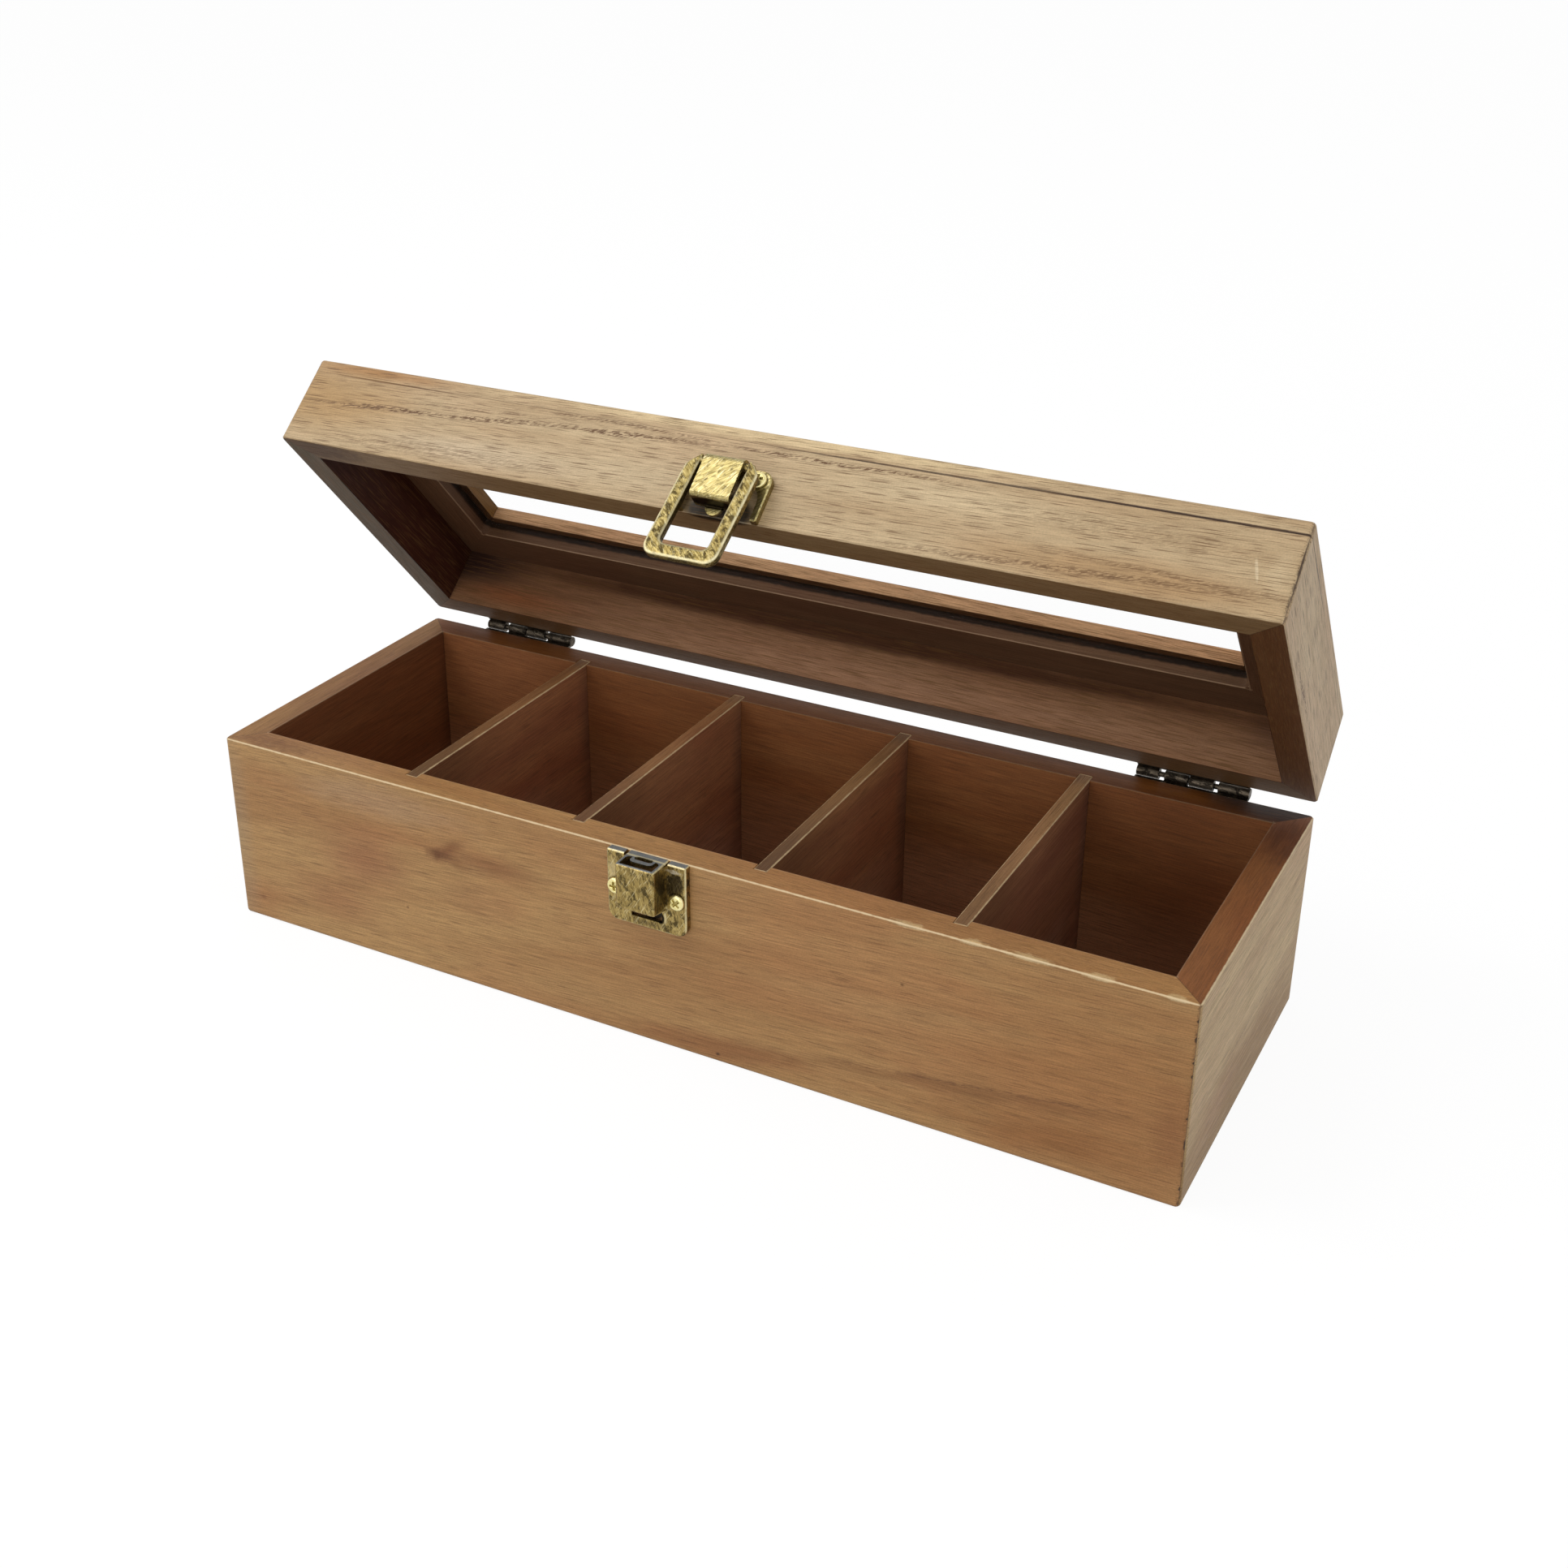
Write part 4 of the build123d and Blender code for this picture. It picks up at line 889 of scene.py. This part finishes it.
def hung_ring(points):
    """Leans points in mm about the ring's pin, moves them to its pivot and swings them open with the lid"""
    cos, sin = math.cos(RING_LEAN), math.sin(RING_LEAN)
    y = points[..., 1] * cos + points[..., 2] * sin
    z = points[..., 2] * cos - points[..., 1] * sin
    return swung_open(np.stack([points[..., 0], y, z], axis=-1) + np.array(RING_PIVOT))


# Shoulder of the ring: the square of its tip's width, its spread, the softness with which it meets the bar,
# how fast it is then full, and how much closer the rows stand at the tip
TIP_SQUARE, SPREAD, MEETING, FILLING, FULL_FROM, CROWDING = 0.06, 0.8, 0.3, 3, 0.6, 1.7


def ring_outlines(steps):
    """Inner and outer outline of the ring, from one shoulder's tip round the bow to the other's. Down a bar
    the width at a drop d is the square root of the tip's square + spread * d (d + 2), until it has its full
    width; then come a quarter circle and the straight bow, and the other half is mirrored"""
    down = np.linspace(0, 1, 3 * steps) ** CROWDING
    inner_gap = RING_HALF - RING_BAR
    outer_drop = (RING_REACH + SHOULDER_RISE - OUTER_ROUND) * down
    inner_drop = (RING_REACH + SHOULDER_RISE - RING_BAR - INNER_ROUND) * down
    opening = np.sqrt(TIP_SQUARE + SPREAD * outer_drop * (outer_drop + 2))
    width = 0.5 * (opening + RING_BAR - np.sqrt((opening - RING_BAR) ** 2 + MEETING))
    full = np.clip(down * FILLING - FULL_FROM, 0, 1)
    width = width + (RING_BAR - width) * full
    bend = np.linspace(0, math.pi / 2, steps)[1:]
    bow = np.linspace(0, 1, steps)[1:]
    outlines = []
    for bar_x, drop, round_off in (
        (-inner_gap - width, outer_drop, OUTER_ROUND), (0 * down - inner_gap, inner_drop, INNER_ROUND),
    ):
        side = bar_x[-1]
        floor = SHOULDER_RISE - drop[-1] - round_off
        bend_x = side + round_off * (1 - np.cos(bend))
        bend_z = SHOULDER_RISE - drop[-1] - round_off * np.sin(bend)
        x = np.concatenate([bar_x, bend_x, (side + round_off) * (1 - bow)])
        z = np.concatenate([SHOULDER_RISE - drop, bend_z, floor + 0 * bow])
        outlines.append((np.concatenate([x, -x[-2::-1]]), np.concatenate([z, z[-2::-1]])))
    return outlines[1], outlines[0]


RING_STEPS, RING_SIDES = 14, 56
PIN_ROWS, PIN_SIDES, PIN_SQUARENESS, PIN_TIP = 24, 32, 24, 0.02
# The bars' section is an ellipse of the fifth power. Its corners are worn bright with a painted
# highlight, the inner ones less, and its inner flat is darkened as painted shade
EDGE_POWER = 2 / 5
EDGE_FROM, EDGE_SPAN, INNER_SHARE, INNER_SHADE, INNER_FLAT = 0.6, 0.25, 0.5, -0.5, 0.7
(inner_x, inner_z), (outer_x, outer_z) = ring_outlines(RING_STEPS)
section = np.arange(RING_SIDES) * 2 * math.pi / RING_SIDES
across = np.sign(np.cos(section)) * abs(np.cos(section)) ** EDGE_POWER
deep = np.sign(np.sin(section)) * abs(np.sin(section)) ** EDGE_POWER
share = (1 + across) / 2
ring_points = np.stack([
    inner_x[:, None] + (outer_x - inner_x)[:, None] * share,
    0 * inner_x[:, None] + deep * RING_DEPTH / 2,
    inner_z[:, None] + (outer_z - inner_z)[:, None] * share,
], axis=-1)
edge_wear_and_highlight = np.clip((np.minimum(abs(across), abs(deep)) - EDGE_FROM) / EDGE_SPAN, 0, 1)
edge_wear_and_highlight = edge_wear_and_highlight * np.where(across > 0, 1, INNER_SHARE)
inner_shade = np.where((across < 0) & (abs(deep) < INNER_FLAT), INNER_SHADE, 0)
ring_wear_and_shading = np.broadcast_to(edge_wear_and_highlight + inner_shade, ring_points.shape[:2])
ring_metal = antique_metal("antique brass ring tumbled", RING_TONES, 3, True, worn_and_shaded=True)
shell_piece(
    "cast_ring", hung_ring(ring_points)[None], ring_wear_and_shading, ring_metal, "ring", "latch_ring",
)
pin_along = np.linspace(-1, 1, PIN_ROWS)
pin_round = np.arange(PIN_SIDES) * 2 * math.pi / PIN_SIDES
pin_radius = PIN_RADIUS * (1 - abs(pin_along) ** PIN_SQUARENESS) ** 0.5 + PIN_TIP
pin_points = np.stack([
    0 * pin_round + (PIN_HALF * pin_along)[:, None],
    pin_radius[:, None] * np.cos(pin_round),
    pin_radius[:, None] * np.sin(pin_round),
], axis=-1)
shell_piece(
    "ring_pin", hung_ring(pin_points)[None], 0 * pin_points[..., 0], ring_metal, "ring", None,
)

# FLOOR, LIGHT AND CAMERA
# A white floor that runs past the picture, a white surround, soft lamps, and a camera where the
# photograph was taken.

# The floor throws back less light than it shows, and a glow takes most of the shadows out of it
FLOOR_HALF = 8.0
FLOOR_SEEN = (0.95, 0.95, 0.95, 1)
FLOOR_BOUNCE = (0.35, 0.34, 0.33, 1)
FLOOR_VEIL = 0.88
FLOOR_GLOW = 1.045
floor_mesh = bpy.data.meshes.new("studio_floor")
floor_mesh.from_pydata(
    [(-FLOOR_HALF, -FLOOR_HALF, 0), (FLOOR_HALF, -FLOOR_HALF, 0), (FLOOR_HALF, FLOOR_HALF, 0),
     (-FLOOR_HALF, FLOOR_HALF, 0)], [], [(0, 1, 2, 3)])
studio_floor = bpy.data.objects.new("studio_floor", floor_mesh)
bpy.context.scene.collection.objects.link(studio_floor)
floor_paint, floor_tree, floor_shader = new_material("matt white floor")


def seen_rays(tree):
    """1 for camera, glossy and transmission rays, which see the white surround, and 0 for light"""
    path = add_node(tree, "LightPath", {}, {}).outputs
    mirrored = add_node(tree, "Math", {"operation": "MAXIMUM"}, {
        0: path["Is Glossy Ray"], 1: path["Is Transmission Ray"],
    }).outputs[0]
    return add_node(tree, "Math", {"operation": "MAXIMUM"}, {
        0: path["Is Camera Ray"], 1: mirrored,
    }).outputs[0]


floor_seen = seen_rays(floor_tree)
floor_colour = add_node(floor_tree, "Mix", MIXED, {
    "Factor": floor_seen, 6: FLOOR_BOUNCE, 7: FLOOR_SEEN,
}).outputs[2]
feed(floor_tree, floor_shader, {"Base Color": floor_colour, "Roughness": 0.9, "Specular IOR Level": 0})
veil = add_node(floor_tree, "Math", {"operation": "MULTIPLY"}, {0: floor_seen, 1: FLOOR_VEIL}).outputs[0]
glow = add_node(floor_tree, "Emission", {}, {"Color": (1, 1, 1, 1), "Strength": FLOOR_GLOW}).outputs[0]
floor_mix = add_node(floor_tree, "MixShader", {}, {0: veil, 1: floor_shader.outputs[0], 2: glow}).outputs[0]
feed(floor_tree, floor_tree.nodes["Material Output"], {"Surface": floor_mix})
floor_mesh.materials.append(floor_paint)

SKY_LIGHT = 0.55
world = bpy.data.worlds.new("white surround")
bpy.context.scene.world = world
world.use_nodes = True
sky_tree = world.node_tree
sky_strength = add_node(sky_tree, "MapRange", {}, {
    "Value": seen_rays(sky_tree), "To Min": SKY_LIGHT, "To Max": 1.0,
}).outputs[0]
feed(sky_tree, sky_tree.nodes["Background"], {"Color": (1, 1, 1, 1), "Strength": sky_strength})


def soft_lamp(name, place, width, power, tint):
    """Square area lamp at a place, turned to face the middle of the box"""
    lamp = bpy.data.lights.new(name, "AREA")
    lamp.size = width
    lamp.energy = power
    lamp.color = linear(tint)[:3]
    made = bpy.data.objects.new(name, lamp)
    bpy.context.scene.collection.objects.link(made)
    made.location = place
    aim = np.array((0, 0, BASE_RIM / MM_PER_M)) - np.array(place)
    yaw = math.atan2(aim[1], aim[0]) - math.pi / 2
    pitch = math.acos(-aim[2] / np.linalg.norm(aim))
    made.rotation_euler = (pitch, 0, yaw)


soft_lamp("front_lamp", (-0.2, -1.7, 0.35), 1.0, 6, "#fffaf4")
soft_lamp("top_left_lamp", (-1.0, -0.5, 1.5), 1.0, 9, "#fffdfa")
soft_lamp("right_lamp", (1.7, -0.2, 0.9), 1.0, 2.5, "#dfe9ff")

# The camera is placed by the lens length, middle and directions that line the box up with its picture
PHOTO_PX = 1932
FOCAL_PX = 2453.27
MIDDLE_PX = (930.99, 863.26)
SENSOR_MM = 36
CAMERA_PLACE = (0.27632, -0.50882, 0.36790)
CAMERA_RIGHT = (0.880537, 0.473977, 0.000301)
CAMERA_UP = (-0.201960, 0.374619, 0.904916)
camera_data = bpy.data.cameras.new("photo_camera")
camera_data.sensor_width = SENSOR_MM
camera_data.lens = FOCAL_PX / PHOTO_PX * SENSOR_MM
camera_data.shift_x = (PHOTO_PX / 2 - MIDDLE_PX[0]) / PHOTO_PX
camera_data.shift_y = (MIDDLE_PX[1] - PHOTO_PX / 2) / PHOTO_PX
camera = bpy.data.objects.new("photo_camera", camera_data)
bpy.context.scene.collection.objects.link(camera)
camera_turn = np.eye(4)
camera_turn[:3, 0] = CAMERA_RIGHT
camera_turn[:3, 1] = CAMERA_UP
camera_turn[:3, 2] = np.cross(CAMERA_RIGHT, CAMERA_UP)
camera_turn[:3, 3] = CAMERA_PLACE
camera.matrix_world = Matrix(camera_turn.tolist())
bpy.context.scene.camera = camera

bpy.context.scene.view_settings.view_transform = "Standard"
